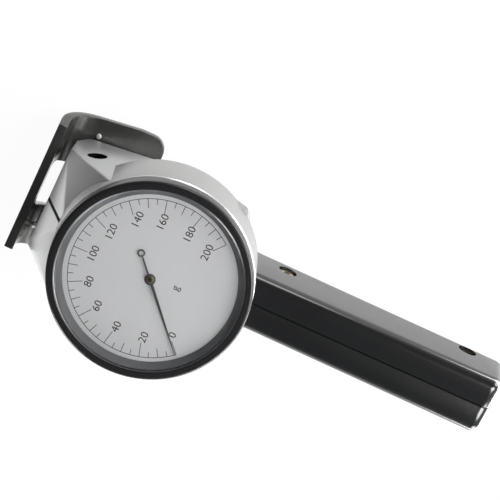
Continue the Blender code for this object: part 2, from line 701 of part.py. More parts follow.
def case_screw_holes(name, y, z, seat_x, bite):
    """A screw's bore through both halves and its counterbore in the right one."""
    bore = rod(name + "_bore", CASE_SCREW_RADIUS + BORE_CLEARANCE, -bite - CLEARANCE, seat_x + OVERRUN,
               None, (0, y, z), (1, 0, 0))
    counterbore = rod(name + "_counterbore", COUNTERBORE_RADIUS, seat_x, DRUM_RADIUS, None, (0, y, z),
                      (1, 0, 0), PIECE_STEPS)
    return bore, counterbore


def case_screw(name, y, z, seat_x, bite):
    return socket_screw(name, (seat_x + CLEARANCE, y, z), (1, 0, 0), CASE_SCREW_HEAD,
                        CASE_SCREW_HEAD_HEIGHT, CASE_SCREW_RADIUS, seat_x + CLEARANCE + bite, BRASS)


def frame_screw_places():
    x = -FRAME_HALF_WIDTH - FRAME_EAR / 2
    return [(x, LOWER_LUG_Y + LUG_THICKNESS), (x, UPPER_LUG_Y)]


def frame_pads():
    pads = []
    for number, (x, y) in enumerate(frame_screw_places(), 1):
        top = FRAME_BASE_Z - FRAME_BASE_THICKNESS - CLEARANCE
        pads.append(rod(f"frame_pad_{number}", FRAME_PAD_RADIUS, back_z(y) + HEAD_WALL / 2, top, None,
                        at=(x, y, 0), steps=SCREW_STEPS))
    return pads


def frame_screw_holes():
    low = FRAME_BASE_Z - FRAME_SCREW_LENGTH - CLEARANCE
    return [rod(f"frame_screw_hole_{number}", FRAME_SCREW_RADIUS + BORE_CLEARANCE, low,
                FRAME_BASE_Z + OVERRUN, None, at=(x, y, 0))
            for number, (x, y) in enumerate(frame_screw_places(), 1)]


def make_head():
    shared = head_cutters()
    upper = case_screw_holes("head_screw_upper", HEAD_SCREW_Y, HEAD_SCREW_Z, HEAD_SCREW_SEAT_X, SCREW_BITE)
    lower = case_screw_holes("head_screw_lower", LOWER_SCREW_Y, LOWER_SCREW_Z, LOWER_SCREW_SEAT_X,
                             SCREW_BITE)
    tang = case_screw_holes("tang", HANDLE_SCREW_UPPER_Y, HANDLE_SCREW_Z, HANDLE_SCREW_SEAT_X,
                            HANDLE_SCREW_BITE)
    drum_holes = drum_screw_holes()
    for name, side in (("head_left", -1), ("head_right", 1)):
        guard_hole = guard_screw_hole(name, side)
        holes = [upper[0], lower[0], tang[0], *drum_holes]
        if side > 0:
            holes += [upper[1], lower[1]]
        make_head_half(name, side, shared, holes, guard_hole)
    case_screw("head_screw_upper", HEAD_SCREW_Y, HEAD_SCREW_Z, HEAD_SCREW_SEAT_X, SCREW_BITE)
    case_screw("head_screw_lower", LOWER_SCREW_Y, LOWER_SCREW_Z, LOWER_SCREW_SEAT_X, SCREW_BITE)
    return shared


# Handle: two moulded shells with a groove where they meet

def taper_to_end(bm, back_z):
    """Bring the end of a box to the handle's raked end face and shallower back."""
    middle = (HANDLE_FRONT_Z + HANDLE_BACK_Z) / 2
    for vert in bm.verts:
        if vert.co.y < (HANDLE_END_Y + HANDLE_TOP_Y) / 2 and vert.co.z < middle:
            vert.co.z = back_z
            vert.co.y -= HANDLE_END_RAKE


def handle_half_bmesh(side):
    inner = HANDLE_PARTING / 2
    low, high = sorted((side * inner, side * HANDLE_NECK_HALF))
    bm = box_bmesh((low, HANDLE_END_Y, HANDLE_BACK_Z), (high, HANDLE_TOP_Y, HANDLE_FRONT_Z))
    for vert in bm.verts:
        if vert.co.y < (HANDLE_END_Y + HANDLE_TOP_Y) / 2 and abs(vert.co.x) > inner + MERGE:
            vert.co.x = side * HANDLE_END_HALF
    taper_to_end(bm, HANDLE_END_BACK_Z)
    outer = [e for e in bm.edges if is_outer_edge(e)]
    bmesh.ops.bevel(bm, geom=outer, offset=HANDLE_CORNER, segments=ARC_STEPS, profile=0.5,
                    affect="EDGES", material=-1)
    parting = [e for e in bm.edges if all(abs(v.co.x) < inner + MERGE for v in e.verts)
               and not all(v.co.y > HANDLE_TOP_Y - MERGE for v in e.verts)]
    bmesh.ops.bevel(bm, geom=parting, offset=HANDLE_GROOVE, segments=1, profile=0.5,
                    affect="EDGES", material=-1)
    return bm


def is_outer_edge(edge):
    """True for the handle's long outer corners and for the corners of its end."""
    first, second = edge.verts
    inner = HANDLE_PARTING / 2 + MERGE
    at_end = all(v.co.y < HANDLE_END_Y + MERGE for v in edge.verts)
    lengthwise = abs(first.co.y - second.co.y) > HANDLE_CORNER
    across_parting = abs(first.co.x) < inner and abs(second.co.x) < inner
    outside = abs(first.co.x) > inner and abs(second.co.x) > inner
    return (lengthwise and outside) or (at_end and not across_parting)


def make_handle(drum_room):
    names = (("handle_left", -1), ("handle_right", 1))
    wall = HANDLE_WALL
    cavity_half = HANDLE_NECK_HALF - wall
    cavity_bm = box_bmesh((-cavity_half, HANDLE_END_Y + wall, HANDLE_BACK_Z + wall),
                          (cavity_half, HANDLE_TOP_Y + OVERRUN, HANDLE_FRONT_Z - wall))
    taper_to_end(cavity_bm, HANDLE_END_BACK_Z + wall)
    long_edges = [e for e in cavity_bm.edges if abs(e.verts[0].co.y - e.verts[1].co.y) > HANDLE_CORNER]
    bmesh.ops.bevel(cavity_bm, geom=long_edges, offset=HANDLE_CORNER - wall, segments=2, profile=0.5,
                    affect="EDGES", material=-1)
    cavity = put("handle_cavity", finish_mesh("handle_cavity", cavity_bm), None)
    upper = case_screw_holes("handle_screw_upper", HANDLE_SCREW_UPPER_Y, HANDLE_SCREW_Z,
                             HANDLE_SCREW_SEAT_X, HANDLE_SCREW_BITE)
    lower = case_screw_holes("handle_screw_lower", HANDLE_SCREW_LOWER_Y, HANDLE_SCREW_Z,
                             HANDLE_SCREW_SEAT_X, HANDLE_SCREW_BITE)
    boss_end = HANDLE_NECK_HALF - wall / 2
    for name, side in names:
        half = put(name, finish_mesh(name, handle_half_bmesh(side)), BLACK_PLASTIC)
        cut(half, cavity)
        join(half, case_boss(name + "_upper_boss", side, HANDLE_SCREW_UPPER_Y, HANDLE_SCREW_Z,
                             TANG_HALF_WIDTH + CLEARANCE, boss_end),
             case_boss(name + "_lower_boss", side, HANDLE_SCREW_LOWER_Y, HANDLE_SCREW_Z,
                       HANDLE_PARTING / 2, boss_end))
        cut(half, drum_room, upper[0], lower[0])
        if side > 0:
            cut(half, upper[1], lower[1])
    case_screw("handle_screw_upper", HANDLE_SCREW_UPPER_Y, HANDLE_SCREW_Z, HANDLE_SCREW_SEAT_X,
               HANDLE_SCREW_BITE)
    case_screw("handle_screw_lower", HANDLE_SCREW_LOWER_Y, HANDLE_SCREW_Z, HANDLE_SCREW_SEAT_X,
               HANDLE_SCREW_BITE)


# Guard: a bent plate with a window, carried by two pads on the head's back

def guard_outline():
    """The flat blank, as half width and run from the bar's front edge; it widens later on the left."""
    right = [
        (GUARD_TOP_HALF, 0, 0), (GUARD_SHOULDER_HALF, GUARD_SHOULDER_RUN, GUARD_SHOULDER_ROUND),
        (GUARD_WIDE_HALF, GUARD_WIDE_RUN, GUARD_WIDE_ROUND),
        (GUARD_WIDE_HALF, GUARD_FOOT_RUN, GUARD_FOOT_ROUND),
    ]
    left = [
        (-GUARD_WIDE_HALF, GUARD_FOOT_RUN, GUARD_FOOT_ROUND),
        (-GUARD_WIDE_HALF, GUARD_WIDE_RUN, GUARD_WIDE_ROUND),
        (-GUARD_LEFT_HALF, GUARD_LEFT_RUN, GUARD_SHOULDER_ROUND), (-GUARD_LEFT_HALF, 0, 0),
    ]
    return rounded(right + left)


def bend_point(run, depth):
    """Where a point of the blank goes: along the bar, round the bend or down the back."""
    turn = (run - GUARD_BAR) / GUARD_MIDDLE_RADIUS
    if turn <= 0:
        return GUARD_TOP_Y - depth, GUARD_FRONT_Z - run
    radius = GUARD_BEND_RADIUS + GUARD_THICKNESS - depth
    if turn >= math.pi / 2:
        past = run - GUARD_BAR - GUARD_MIDDLE_RADIUS * math.pi / 2
        return GUARD_BEND_Y - past, GUARD_BEND_Z - radius
    return GUARD_BEND_Y + radius * math.cos(turn), GUARD_BEND_Z - radius * math.sin(turn)


def guard_plate():
    """The blank, cut across where it bends and then bent to shape."""
    bm = bmesh.new()
    face = bm.faces.new([bm.verts.new((x, run, 0)) for x, run in guard_outline()])
    raised = bmesh.ops.extrude_face_region(bm, geom=[face])
    inner = [item for item in raised["geom"] if isinstance(item, bmesh.types.BMVert)]
    bmesh.ops.translate(bm, verts=inner, vec=(0, 0, GUARD_THICKNESS))
    for step in range(GUARD_BEND_STEPS + 1):
        run = GUARD_BAR + GUARD_MIDDLE_RADIUS * math.pi / 2 * step / GUARD_BEND_STEPS
        everything = bm.verts[:] + bm.edges[:] + bm.faces[:]
        bmesh.ops.bisect_plane(bm, geom=everything, dist=MERGE, plane_co=(0, run, 0), plane_no=(0, 1, 0))
    for vert in bm.verts:
        vert.co.yz = bend_point(vert.co.y, vert.co.z)
    bmesh.ops.triangulate(bm, faces=bm.faces)
    return put("guard", finish_mesh("guard", bm), GUARD_BRONZE)


def guard_pad(name, side):
    """A pad from the plate to the head's back, cut to the slope of that face."""
    bm = bmesh.new()
    low = GUARD_BACK_Z + GUARD_THICKNESS / 2
    bmesh.ops.create_cone(bm, cap_ends=True, segments=PIECE_STEPS, radius1=GUARD_PAD_RADIUS,
                          radius2=GUARD_PAD_RADIUS, depth=BACK_FOOT_Z - low)
    middle = (side * GUARD_SCREW_X, GUARD_SCREW_Y, (low + BACK_FOOT_Z) / 2)
    bmesh.ops.translate(bm, verts=bm.verts, vec=middle)
    seat = (0, GUARD_SCREW_Y, back_z(GUARD_SCREW_Y) - CLEARANCE)
    slice_off(bm, seat, (0, -BACK_SLOPE, 1))
    return put(name, finish_mesh(name, bm), None)


def guard_screw_hole(name, side):
    seat = GUARD_BACK_Z + GUARD_SCREW_RECESS
    high = back_z(GUARD_SCREW_Y) + GUARD_SCREW_BITE + CLEARANCE
    return rod(name + "_guard_screw_hole", GUARD_SCREW_RADIUS + BORE_CLEARANCE, seat - OVERRUN, high,
               None, at=(side * GUARD_SCREW_X, GUARD_SCREW_Y, 0))


def guard_inner_z(y):
    """The inner face of the guard at a height along the gauge."""
    rise = max(y - GUARD_BEND_Y, 0)
    return GUARD_BEND_Z - math.sqrt(GUARD_BEND_RADIUS ** 2 - rise ** 2)


def make_guide_pin(name, x, y):
    """A domed pin in the guard's inner face and the hole that it is pressed into."""
    front = guard_inner_z(y) + GUIDE_PIN_REACH
    foot = front - GUIDE_PIN_REACH - GUIDE_PIN_SINK
    crown = [(GUIDE_PIN_RADIUS * math.sin(a), front - GUIDE_PIN_DOME * (1 - math.cos(a)))
             for a in (0, math.radians(45), math.radians(90))]
    turned(name, [*crown, (GUIDE_PIN_RADIUS, foot), (0, foot)], STEEL, (x, y, 0), steps=SCREW_STEPS)
    return rod(name + "_hole", GUIDE_PIN_RADIUS + BORE_CLEARANCE, foot - CLEARANCE, front + OVERRUN,
               None, at=(x, y, 0))


def make_guard():
    guard = guard_plate()
    join(guard, guard_pad("guard_pad_left", -1), guard_pad("guard_pad_right", 1))
    window = box("guard_window", (-WINDOW_HALF, WINDOW_FOOT_Y, GUARD_BACK_Z - OVERRUN),
                 (WINDOW_HALF, GUARD_TOP_Y + OVERRUN, WINDOW_FRONT_Z))
    cut(guard, window)
    for label, side in (("left", -1), ("right", 1)):
        recess = rod(f"guard_recess_{label}", GUARD_SCREW_HEAD + CLEARANCE, GUARD_BACK_Z - OVERRUN,
                     GUARD_BACK_Z + GUARD_SCREW_RECESS, None,
                     at=(side * GUARD_SCREW_X, GUARD_SCREW_Y, 0), steps=PIECE_STEPS)
        cut(guard, recess, guard_screw_hole(f"guard_{label}", side))
        seat = GUARD_BACK_Z + GUARD_SCREW_RECESS - CLEARANCE
        length = back_z(GUARD_SCREW_Y) + GUARD_SCREW_BITE - seat
        socket_screw(f"guard_screw_{label}", (side * GUARD_SCREW_X, GUARD_SCREW_Y, seat), (0, 0, -1),
                     GUARD_SCREW_HEAD, GUARD_SCREW_HEAD_HEIGHT, GUARD_SCREW_RADIUS, length)
        cut(guard, make_guide_pin(f"guide_pin_outer_{label}", side * OUTER_PIN_X, OUTER_PIN_Y))
    cut(guard, make_guide_pin("guide_pin_inner_left", -INNER_PIN_X, INNER_PIN_Y))


# Dial drum and what closes it

def make_drum():
    shelf_back = SHELF_FACE_Z - SHELF_DEPTH
    groove_z = DRUM_FRONT_Z - RIM_GROOVE_DEPTH
    outline = [
        (DRUM_INNER_RADIUS, DRUM_FRONT_Z), (DRUM_RADIUS - DRUM_EDGE, DRUM_FRONT_Z),
        (DRUM_RADIUS, DRUM_FRONT_Z - DRUM_EDGE), (DRUM_RADIUS, DRUM_BACK_Z + DRUM_EDGE),
        (DRUM_RADIUS - DRUM_EDGE, DRUM_BACK_Z), (DRUM_OPENING_RADIUS, DRUM_BACK_Z),
        (DRUM_OPENING_RADIUS, DRUM_FLOOR_Z), (DRUM_INNER_RADIUS, DRUM_FLOOR_Z),
        (DRUM_INNER_RADIUS, shelf_back), (SHELF_INNER_RADIUS, shelf_back + DRUM_WALL),
        (SHELF_INNER_RADIUS, SHELF_FACE_Z), (SHELF_OUTER_RADIUS, SHELF_FACE_Z),
        (SHELF_OUTER_RADIUS, groove_z), (DRUM_INNER_RADIUS, groove_z),
    ]
    drum = turned("dial_drum", outline, DRUM_SILVER)
    cut(drum, *drum_screw_holes_in_floor(), *movement_screw_holes())
    for number, angle in enumerate(DRUM_SCREW_ANGLES_DEG, 1):
        socket_screw(f"drum_screw_{number}", (*on_circle(DRUM_SCREW_CIRCLE, angle), DRUM_FLOOR_Z + CLEARANCE),
                     (0, 0, 1), DRUM_SCREW_HEAD, DRUM_SCREW_HEAD_HEIGHT, DRUM_SCREW_RADIUS,
                     DRUM_SCREW_LENGTH)


def drum_screw_holes_in_floor():
    return [bpy.data.objects[f"drum_screw_hole_{number}"]
            for number in range(1, len(DRUM_SCREW_ANGLES_DEG) + 1)]


def movement_screw_holes():
    return [rod(f"movement_screw_hole_{number}", PILLAR_SCREW_RADIUS + BORE_CLEARANCE,
                DRUM_BACK_Z - OVERRUN, BACK_PLATE_FRONT_Z + OVERRUN, None,
                at=(*on_circle(MOVEMENT_SCREW_CIRCLE, angle), 0))
            for number, angle in enumerate(MOVEMENT_SCREW_ANGLES_DEG, 1)]


def make_dial():
    extruded("dial_plate", [circle(PLATE_RADIUS, ROUND_STEPS), circle(PLATE_HOLE_RADIUS)],
             PLATE_BACK_Z, 0, DIAL_SILVER)
    foot = CLEARANCE
    top = foot + RING_HEIGHT
    turned("dial_ring", [(RING_CONE_RADIUS, top), (RING_OUTER_RADIUS, top), (RING_OUTER_RADIUS, foot),
                         (RING_INNER_RADIUS, foot)], RING_GREY)
    turned("dial_glass", [(0, GLASS_FRONT_Z), (GLASS_RADIUS, GLASS_FRONT_Z), (GLASS_RADIUS, GLASS_BACK_Z),
                          (0, GLASS_BACK_Z)], CLEAR)
    make_bezel()


def make_bezel():
    shoulder = [(BEZEL_FACE_OUTER_RADIUS + BEZEL_OUTER_ROUND * math.sin(a),
                 BEZEL_FRONT_Z - BEZEL_OUTER_ROUND * (1 - math.cos(a)))
                for a in (0, math.radians(30), math.radians(60), math.radians(90))]
    spigot_z = BEZEL_FOOT_Z - BEZEL_SPIGOT_DEPTH
    outline = [
        (BEZEL_FACE_INNER_RADIUS, BEZEL_FRONT_Z), *shoulder,
        (BEZEL_RADIUS, BEZEL_FOOT_Z), (BEZEL_SPIGOT_RADIUS, BEZEL_FOOT_Z),
        (BEZEL_SPIGOT_RADIUS, spigot_z), (BEZEL_WALL_RADIUS, spigot_z),
        (BEZEL_WALL_RADIUS, BEZEL_LIP_Z), (BEZEL_LIP_RADIUS, BEZEL_LIP_Z),
        (BEZEL_LIP_RADIUS, BEZEL_LIP_Z + BEZEL_LIP_EDGE),
    ]
    turned("bezel", outline, BEZEL_BLACK)


# Pointer and its hub

def pointer_outline():
    """Blade along +X and tail along -X, with an eye round the hub's collar."""
    root = POINTER_ROOT_WIDTH / 2
    tail = POINTER_TAIL_WIDTH / 2
    eye = POINTER_EYE_RADIUS
    ring = POINTER_RING_RADIUS
    blade_angle = math.asin(root / eye)
    tail_angle = math.asin(tail / eye)
    ring_angle = math.asin(tail / ring)
    tip = [(POINTER_LENGTH - POINTER_TIP_WIDTH, -POINTER_TIP_WIDTH / 2), (POINTER_LENGTH, 0),
           (POINTER_LENGTH - POINTER_TIP_WIDTH, POINTER_TIP_WIDTH / 2)]
    upper = arc(eye, blade_angle, math.pi - tail_angle, ARC_STEPS)
    loop = arc(ring, ring_angle, 2 * math.pi - ring_angle, 2 * ARC_STEPS, (-POINTER_TAIL, 0))
    lower = arc(eye, math.pi + tail_angle, 2 * math.pi - blade_angle, ARC_STEPS)
    return [*tip, *upper, *loop, *lower]


def make_pointer():
    turn = Matrix.Rotation(math.radians(POINTER_ZERO_DEG), 4, "Z")
    holes = [circle(HUB_COLLAR_RADIUS + BORE_CLEARANCE, SCREW_STEPS),
             circle(POINTER_RING_HOLE, SCREW_STEPS, (-POINTER_TAIL, 0))]
    extruded("pointer", [pointer_outline(), *holes], POINTER_Z, POINTER_Z + POINTER_THICKNESS,
             POINTER_BLACK, basis=turn)
    bore = ARBOR_TIP_RADIUS + BORE_CLEARANCE
    flange_top = POINTER_Z - BORE_CLEARANCE
    flange_foot = flange_top - HUB_FLANGE_HEIGHT
    turned("pointer_hub", [
        (bore, HUB_TOP_Z), (HUB_COLLAR_RADIUS, HUB_TOP_Z), (HUB_COLLAR_RADIUS, flange_top),
        (HUB_FLANGE_RADIUS, flange_top), (HUB_FLANGE_RADIUS, flange_foot), (bore, flange_foot),
    ], BRASS, steps=PIECE_STEPS)


# Movement between its two plates

def pinion_outline():
    gap_to_sector = math.atan2(SECTOR_Y, SECTOR_X)
    pitch = 2 * math.pi / PINION_TEETH
    outline = []
    for tooth in range(PINION_TEETH):
        centre = gap_to_sector + (tooth + 0.5) * pitch
        outline += tooth_outline(centre, PINION_PITCH_RADIUS, PINION_TEETH, PINION_ADDENDUM_SHARE)
    return outline


def tooth_outline(centre, pitch_radius, teeth, addendum_share):
    """One tooth with involute flanks, as points running round the gear."""
    pressure = math.radians(PRESSURE_ANGLE_DEG)
    base = pitch_radius * math.cos(pressure)
    root = pitch_radius - DEDENDUM_SHARE * GEAR_MODULE
    tip = pitch_radius + addendum_share * GEAR_MODULE
    half = math.pi / teeth / 2 - TOOTH_BACKLASH / pitch_radius / 2
    start = max(base, root)

    def half_angle(radius):
        roll = math.acos(min(base / radius, 1))
        return half + involute(pressure) - involute(roll)

    radii = [start + (tip - start) * step / FLANK_POINTS for step in range(FLANK_POINTS + 1)]
    flank = [(radius, half_angle(radius)) for radius in radii]
    if root < base:
        flank.insert(0, (root, half_angle(base)))
    rising = [(radius * math.cos(centre - a), radius * math.sin(centre - a)) for radius, a in flank]
    falling = [(radius * math.cos(centre + a), radius * math.sin(centre + a))
               for radius, a in reversed(flank)]
    return rising + falling


def involute(angle):
    return math.tan(angle) - angle


def sector_outline():
    """The toothed rim, its two spokes and hub, about the sector's arbor."""
    pitch = 2 * math.pi / SECTOR_FULL_TEETH
    mesh_angle = math.atan2(-SECTOR_Y, -SECTOR_X)
    swing_teeth = math.ceil(SECTOR_SWING / pitch)
    rim = []
    for tooth in range(-swing_teeth - SECTOR_SPARE_TEETH, SECTOR_SPARE_TEETH + 1):
        rim += tooth_outline(mesh_angle + tooth * pitch, SECTOR_PITCH_RADIUS, SECTOR_FULL_TEETH,
                             SECTOR_ADDENDUM_SHARE)
    first = mesh_angle - (swing_teeth + SECTOR_SPARE_TEETH + 0.5) * pitch
    last = mesh_angle + (SECTOR_SPARE_TEETH + 0.5) * pitch
    hub = arc(SECTOR_HUB_RADIUS, last + math.pi / 4, first - math.pi / 4 + 2 * math.pi,
              2 * ARC_STEPS)
    inner = SECTOR_PITCH_RADIUS - DEDENDUM_SHARE * GEAR_MODULE - SECTOR_RIM
    outer = inner + SECTOR_RIM
    start = [(inner * math.cos(first), inner * math.sin(first)),
             (outer * math.cos(first), outer * math.sin(first))]
    end = [(outer * math.cos(last), outer * math.sin(last)),
           (inner * math.cos(last), inner * math.sin(last))]
    return [*start, *rim, *end, *hub]


def sector_window():
    """The opening between the sector's spokes."""
    pitch = 2 * math.pi / SECTOR_FULL_TEETH
    mesh_angle = math.atan2(-SECTOR_Y, -SECTOR_X)
    swing_teeth = math.ceil(SECTOR_SWING / pitch)
    first = mesh_angle - (swing_teeth + SECTOR_SPARE_TEETH + 0.5) * pitch
    last = mesh_angle + (SECTOR_SPARE_TEETH + 0.5) * pitch
    outer = SECTOR_PITCH_RADIUS - DEDENDUM_SHARE * GEAR_MODULE - SECTOR_RIM
    inner = SECTOR_HUB_RADIUS + SECTOR_SPOKE
    outer_inset = SECTOR_SPOKE / outer
    inner_inset = SECTOR_SPOKE / inner
    return (arc(outer, first + outer_inset, last - outer_inset, ARC_STEPS)
            + arc(inner, last - inner_inset, first + inner_inset, 2))


def fork_outline():
    """A hub with two prongs that hold the plunger's drive pin at its rest place."""
    angle = math.atan2(PLUNGER_TRAVEL / 2, -FORK_REACH)
    slot = DRIVE_PIN_RADIUS + FORK_SLOT_CLEARANCE
    outer = slot + FORK_PRONG
    reach = math.hypot(FORK_REACH, PLUNGER_TRAVEL / 2)
    end = reach + FORK_END_SPARE
    root = reach - FORK_END_SPARE
    prongs = [(end, outer), (end, slot), (root, slot), (root, -slot), (end, -slot), (end, -outer)]
    hub_angle = math.asin(outer / FORK_HUB_RADIUS)
    hub = arc(FORK_HUB_RADIUS, -hub_angle, hub_angle - 2 * math.pi, 2 * ARC_STEPS)
    turn = Matrix.Rotation(angle, 2)
    return [tuple(turn @ Vector(point)) for point in [*prongs, *hub]]


def make_plates():
    centre_hole = circle(ARBOR_RADIUS + BORE_CLEARANCE, SCREW_STEPS)
    sector_at = (SECTOR_X, SECTOR_Y)
    front_holes = [circle(ARBOR_RADIUS + BORE_CLEARANCE, SCREW_STEPS),
                   circle(SECTOR_PIVOT_RADIUS + BORE_CLEARANCE, SCREW_STEPS, sector_at)]
    front_holes += [circle(PILLAR_SCREW_RADIUS + BORE_CLEARANCE, SCREW_STEPS,
                           on_circle(PILLAR_CIRCLE, angle)) for angle in PILLAR_ANGLES_DEG]
    front_back = FRONT_PLATE_Z - FRONT_PLATE_THICKNESS
    extruded("movement_front_plate", [circle(FRONT_PLATE_RADIUS, ROUND_STEPS // 2), *front_holes],
             front_back, FRONT_PLATE_Z, BRASS)
    back_foot = DRUM_FLOOR_Z + CLEARANCE
    back_holes = [centre_hole,
                  circle(SECTOR_ARBOR_RADIUS + BORE_CLEARANCE, SCREW_STEPS, sector_at)]
    back_holes += [circle(PILLAR_SCREW_RADIUS + BORE_CLEARANCE, SCREW_STEPS,
                          on_circle(MOVEMENT_SCREW_CIRCLE, angle))
                   for angle in MOVEMENT_SCREW_ANGLES_DEG]
    extruded("movement_back_plate", [circle(BACK_PLATE_RADIUS, ROUND_STEPS // 2), *back_holes],
             back_foot, BACK_PLATE_FRONT_Z, BRASS)
    for number, angle in enumerate(PILLAR_ANGLES_DEG, 1):
        make_pillar(number, on_circle(PILLAR_CIRCLE, angle), front_back)
    for number, angle in enumerate(MOVEMENT_SCREW_ANGLES_DEG, 1):
        socket_screw(f"movement_screw_{number}",
                     (*on_circle(MOVEMENT_SCREW_CIRCLE, angle), BACK_PLATE_FRONT_Z + CLEARANCE),
                     (0, 0, 1), PILLAR_SCREW_HEAD, PILLAR_SCREW_HEAD_HEIGHT, PILLAR_SCREW_RADIUS,
                     BACK_PLATE_THICKNESS + DRUM_FLOOR)


def make_pillar(number, at, front_back):
    """A pillar between the plates, bored for the screw that holds the front plate."""
    top = front_back - CLEARANCE
    foot = BACK_PLATE_FRONT_Z + CLEARANCE
    bore = PILLAR_SCREW_RADIUS + BORE_CLEARANCE
    bore_z = FRONT_PLATE_Z - PILLAR_SCREW_LENGTH - CLEARANCE
    turned(f"movement_pillar_{number}", [
        (0, bore_z), (bore, bore_z), (bore, top), (PILLAR_RADIUS, top), (PILLAR_RADIUS, foot), (0, foot),
    ], STEEL, (*at, 0), steps=PIECE_STEPS)
    socket_screw(f"pillar_screw_{number}", (*at, FRONT_PLATE_Z + CLEARANCE), (0, 0, 1),
                 PILLAR_SCREW_HEAD, PILLAR_SCREW_HEAD_HEIGHT, PILLAR_SCREW_RADIUS,
                 PILLAR_SCREW_LENGTH)


def make_pinion():
    pinion_back = PINION_FACE_Z - PINION_FACE
    extruded("pinion", [pinion_outline(), circle(ARBOR_RADIUS + BORE_CLEARANCE, SCREW_STEPS)],
             pinion_back, PINION_FACE_Z, STEEL)
    collet_top = pinion_back - COLLET_GAP
    collet_foot = collet_top - COLLET_HEIGHT
    foot = DRUM_FLOOR_Z + CLEARANCE
    turned("pointer_arbor", [
        (0, ARBOR_TIP_Z), (ARBOR_TIP_RADIUS, ARBOR_TIP_Z), (ARBOR_TIP_RADIUS, PLATE_BACK_Z - CLEARANCE),
        (ARBOR_RADIUS, PLATE_BACK_Z - OVERRUN), (ARBOR_RADIUS, collet_top), (COLLET_RADIUS, collet_top),
        (COLLET_RADIUS, collet_foot), (ARBOR_RADIUS, collet_foot), (ARBOR_RADIUS, foot), (0, foot),
    ], STEEL, steps=PIECE_STEPS)
    make_hairspring((collet_top + collet_foot) / 2)


def make_hairspring(z):
    steps = HAIRSPRING_TURNS * HAIRSPRING_POINTS
    points = []
    for step in range(steps + 1):
        turns = step / HAIRSPRING_POINTS
        radius = HAIRSPRING_INNER_RADIUS + HAIRSPRING_PITCH * turns
        points.append((*on_circle(radius, 360 * turns), z))
    wire("hairspring", points, HAIRSPRING_WIRE / 2, SPRING_STEEL)
    end = HAIRSPRING_INNER_RADIUS + HAIRSPRING_PITCH * HAIRSPRING_TURNS
    stud_x = end + HAIRSPRING_WIRE / 2 + CLEARANCE + HAIRSPRING_STUD_RADIUS
    rod("hairspring_stud", HAIRSPRING_STUD_RADIUS, BACK_PLATE_FRONT_Z + CLEARANCE, z + HAIRSPRING_WIRE * 2,
        BRASS, at=(stud_x, 0, 0))


def make_sector():
    at = (SECTOR_X, SECTOR_Y, 0)
    middle = PINION_FACE_Z - PINION_FACE / 2
    bore = circle(SECTOR_ARBOR_RADIUS + BORE_CLEARANCE, SCREW_STEPS)
    extruded("sector_gear", [sector_outline(), sector_window(), bore], middle - SECTOR_THICKNESS / 2,
             middle + SECTOR_THICKNESS / 2, BRASS, at)
    pivot_back = FRONT_PLATE_Z - FRONT_PLATE_THICKNESS - CLEARANCE
    foot = FORK_Z - FORK_THICKNESS - CLEARANCE
    turned("sector_arbor", [
        (0, FRONT_PLATE_Z), (SECTOR_PIVOT_RADIUS, FRONT_PLATE_Z), (SECTOR_PIVOT_RADIUS, pivot_back),
        (SECTOR_ARBOR_RADIUS, pivot_back), (SECTOR_ARBOR_RADIUS, foot), (0, foot),
    ], STEEL, at, steps=SCREW_STEPS)
    extruded("fork_arm", [fork_outline(), bore], FORK_Z - FORK_THICKNESS, FORK_Z, BRASS, at)


# Plunger, feeler and measuring spring

def make_plunger():
    foot = DRIVE_PIN_Y - PLUNGER_FOOT_SPARE
    collar_top = UPPER_LUG_Y - CLEARANCE
    collar_foot = collar_top - COLLAR_HEIGHT
    plunger = turned("plunger", [
        (0, FEELER_Y), (PLUNGER_RADIUS, FEELER_Y), (PLUNGER_RADIUS, collar_top),
        (COLLAR_RADIUS, collar_top), (COLLAR_RADIUS, collar_foot), (PLUNGER_RADIUS, collar_foot),
        (PLUNGER_RADIUS, foot), (0, foot),
    ], STEEL, (0, 0, PLUNGER_Z), (0, 1, 0), PIECE_STEPS)
    head = rod("plunger_head", PLUNGER_HEAD_RADIUS, PLUNGER_Z - PLUNGER_RADIUS * 2,
               PLUNGER_Z + PLUNGER_RADIUS, None, at=(0, FEELER_Y, 0), steps=PIECE_STEPS)
    feeler_bore = rod("feeler_bore", FEELER_PIN_RADIUS + BORE_CLEARANCE, PLUNGER_Z - PLUNGER_RADIUS * 3,
                      PLUNGER_Z + PLUNGER_RADIUS / 2, None, at=(0, FEELER_Y, 0))
    drive_bore = rod("drive_bore", DRIVE_PIN_RADIUS + BORE_CLEARANCE, PLUNGER_Z - PLUNGER_RADIUS / 2,
                     PLUNGER_Z + PLUNGER_RADIUS * 2, None, at=(0, DRIVE_PIN_Y, 0))
    join(plunger, head)
    cut(plunger, feeler_bore, drive_bore)
    rod("drive_pin", DRIVE_PIN_RADIUS, PLUNGER_Z - PLUNGER_RADIUS / 2 + CLEARANCE,
        FORK_Z + CLEARANCE, STEEL, at=(0, DRIVE_PIN_Y, 0))
    make_feeler()
    make_spring(collar_foot - CLEARANCE, LOWER_LUG_Y + LUG_THICKNESS + CLEARANCE)


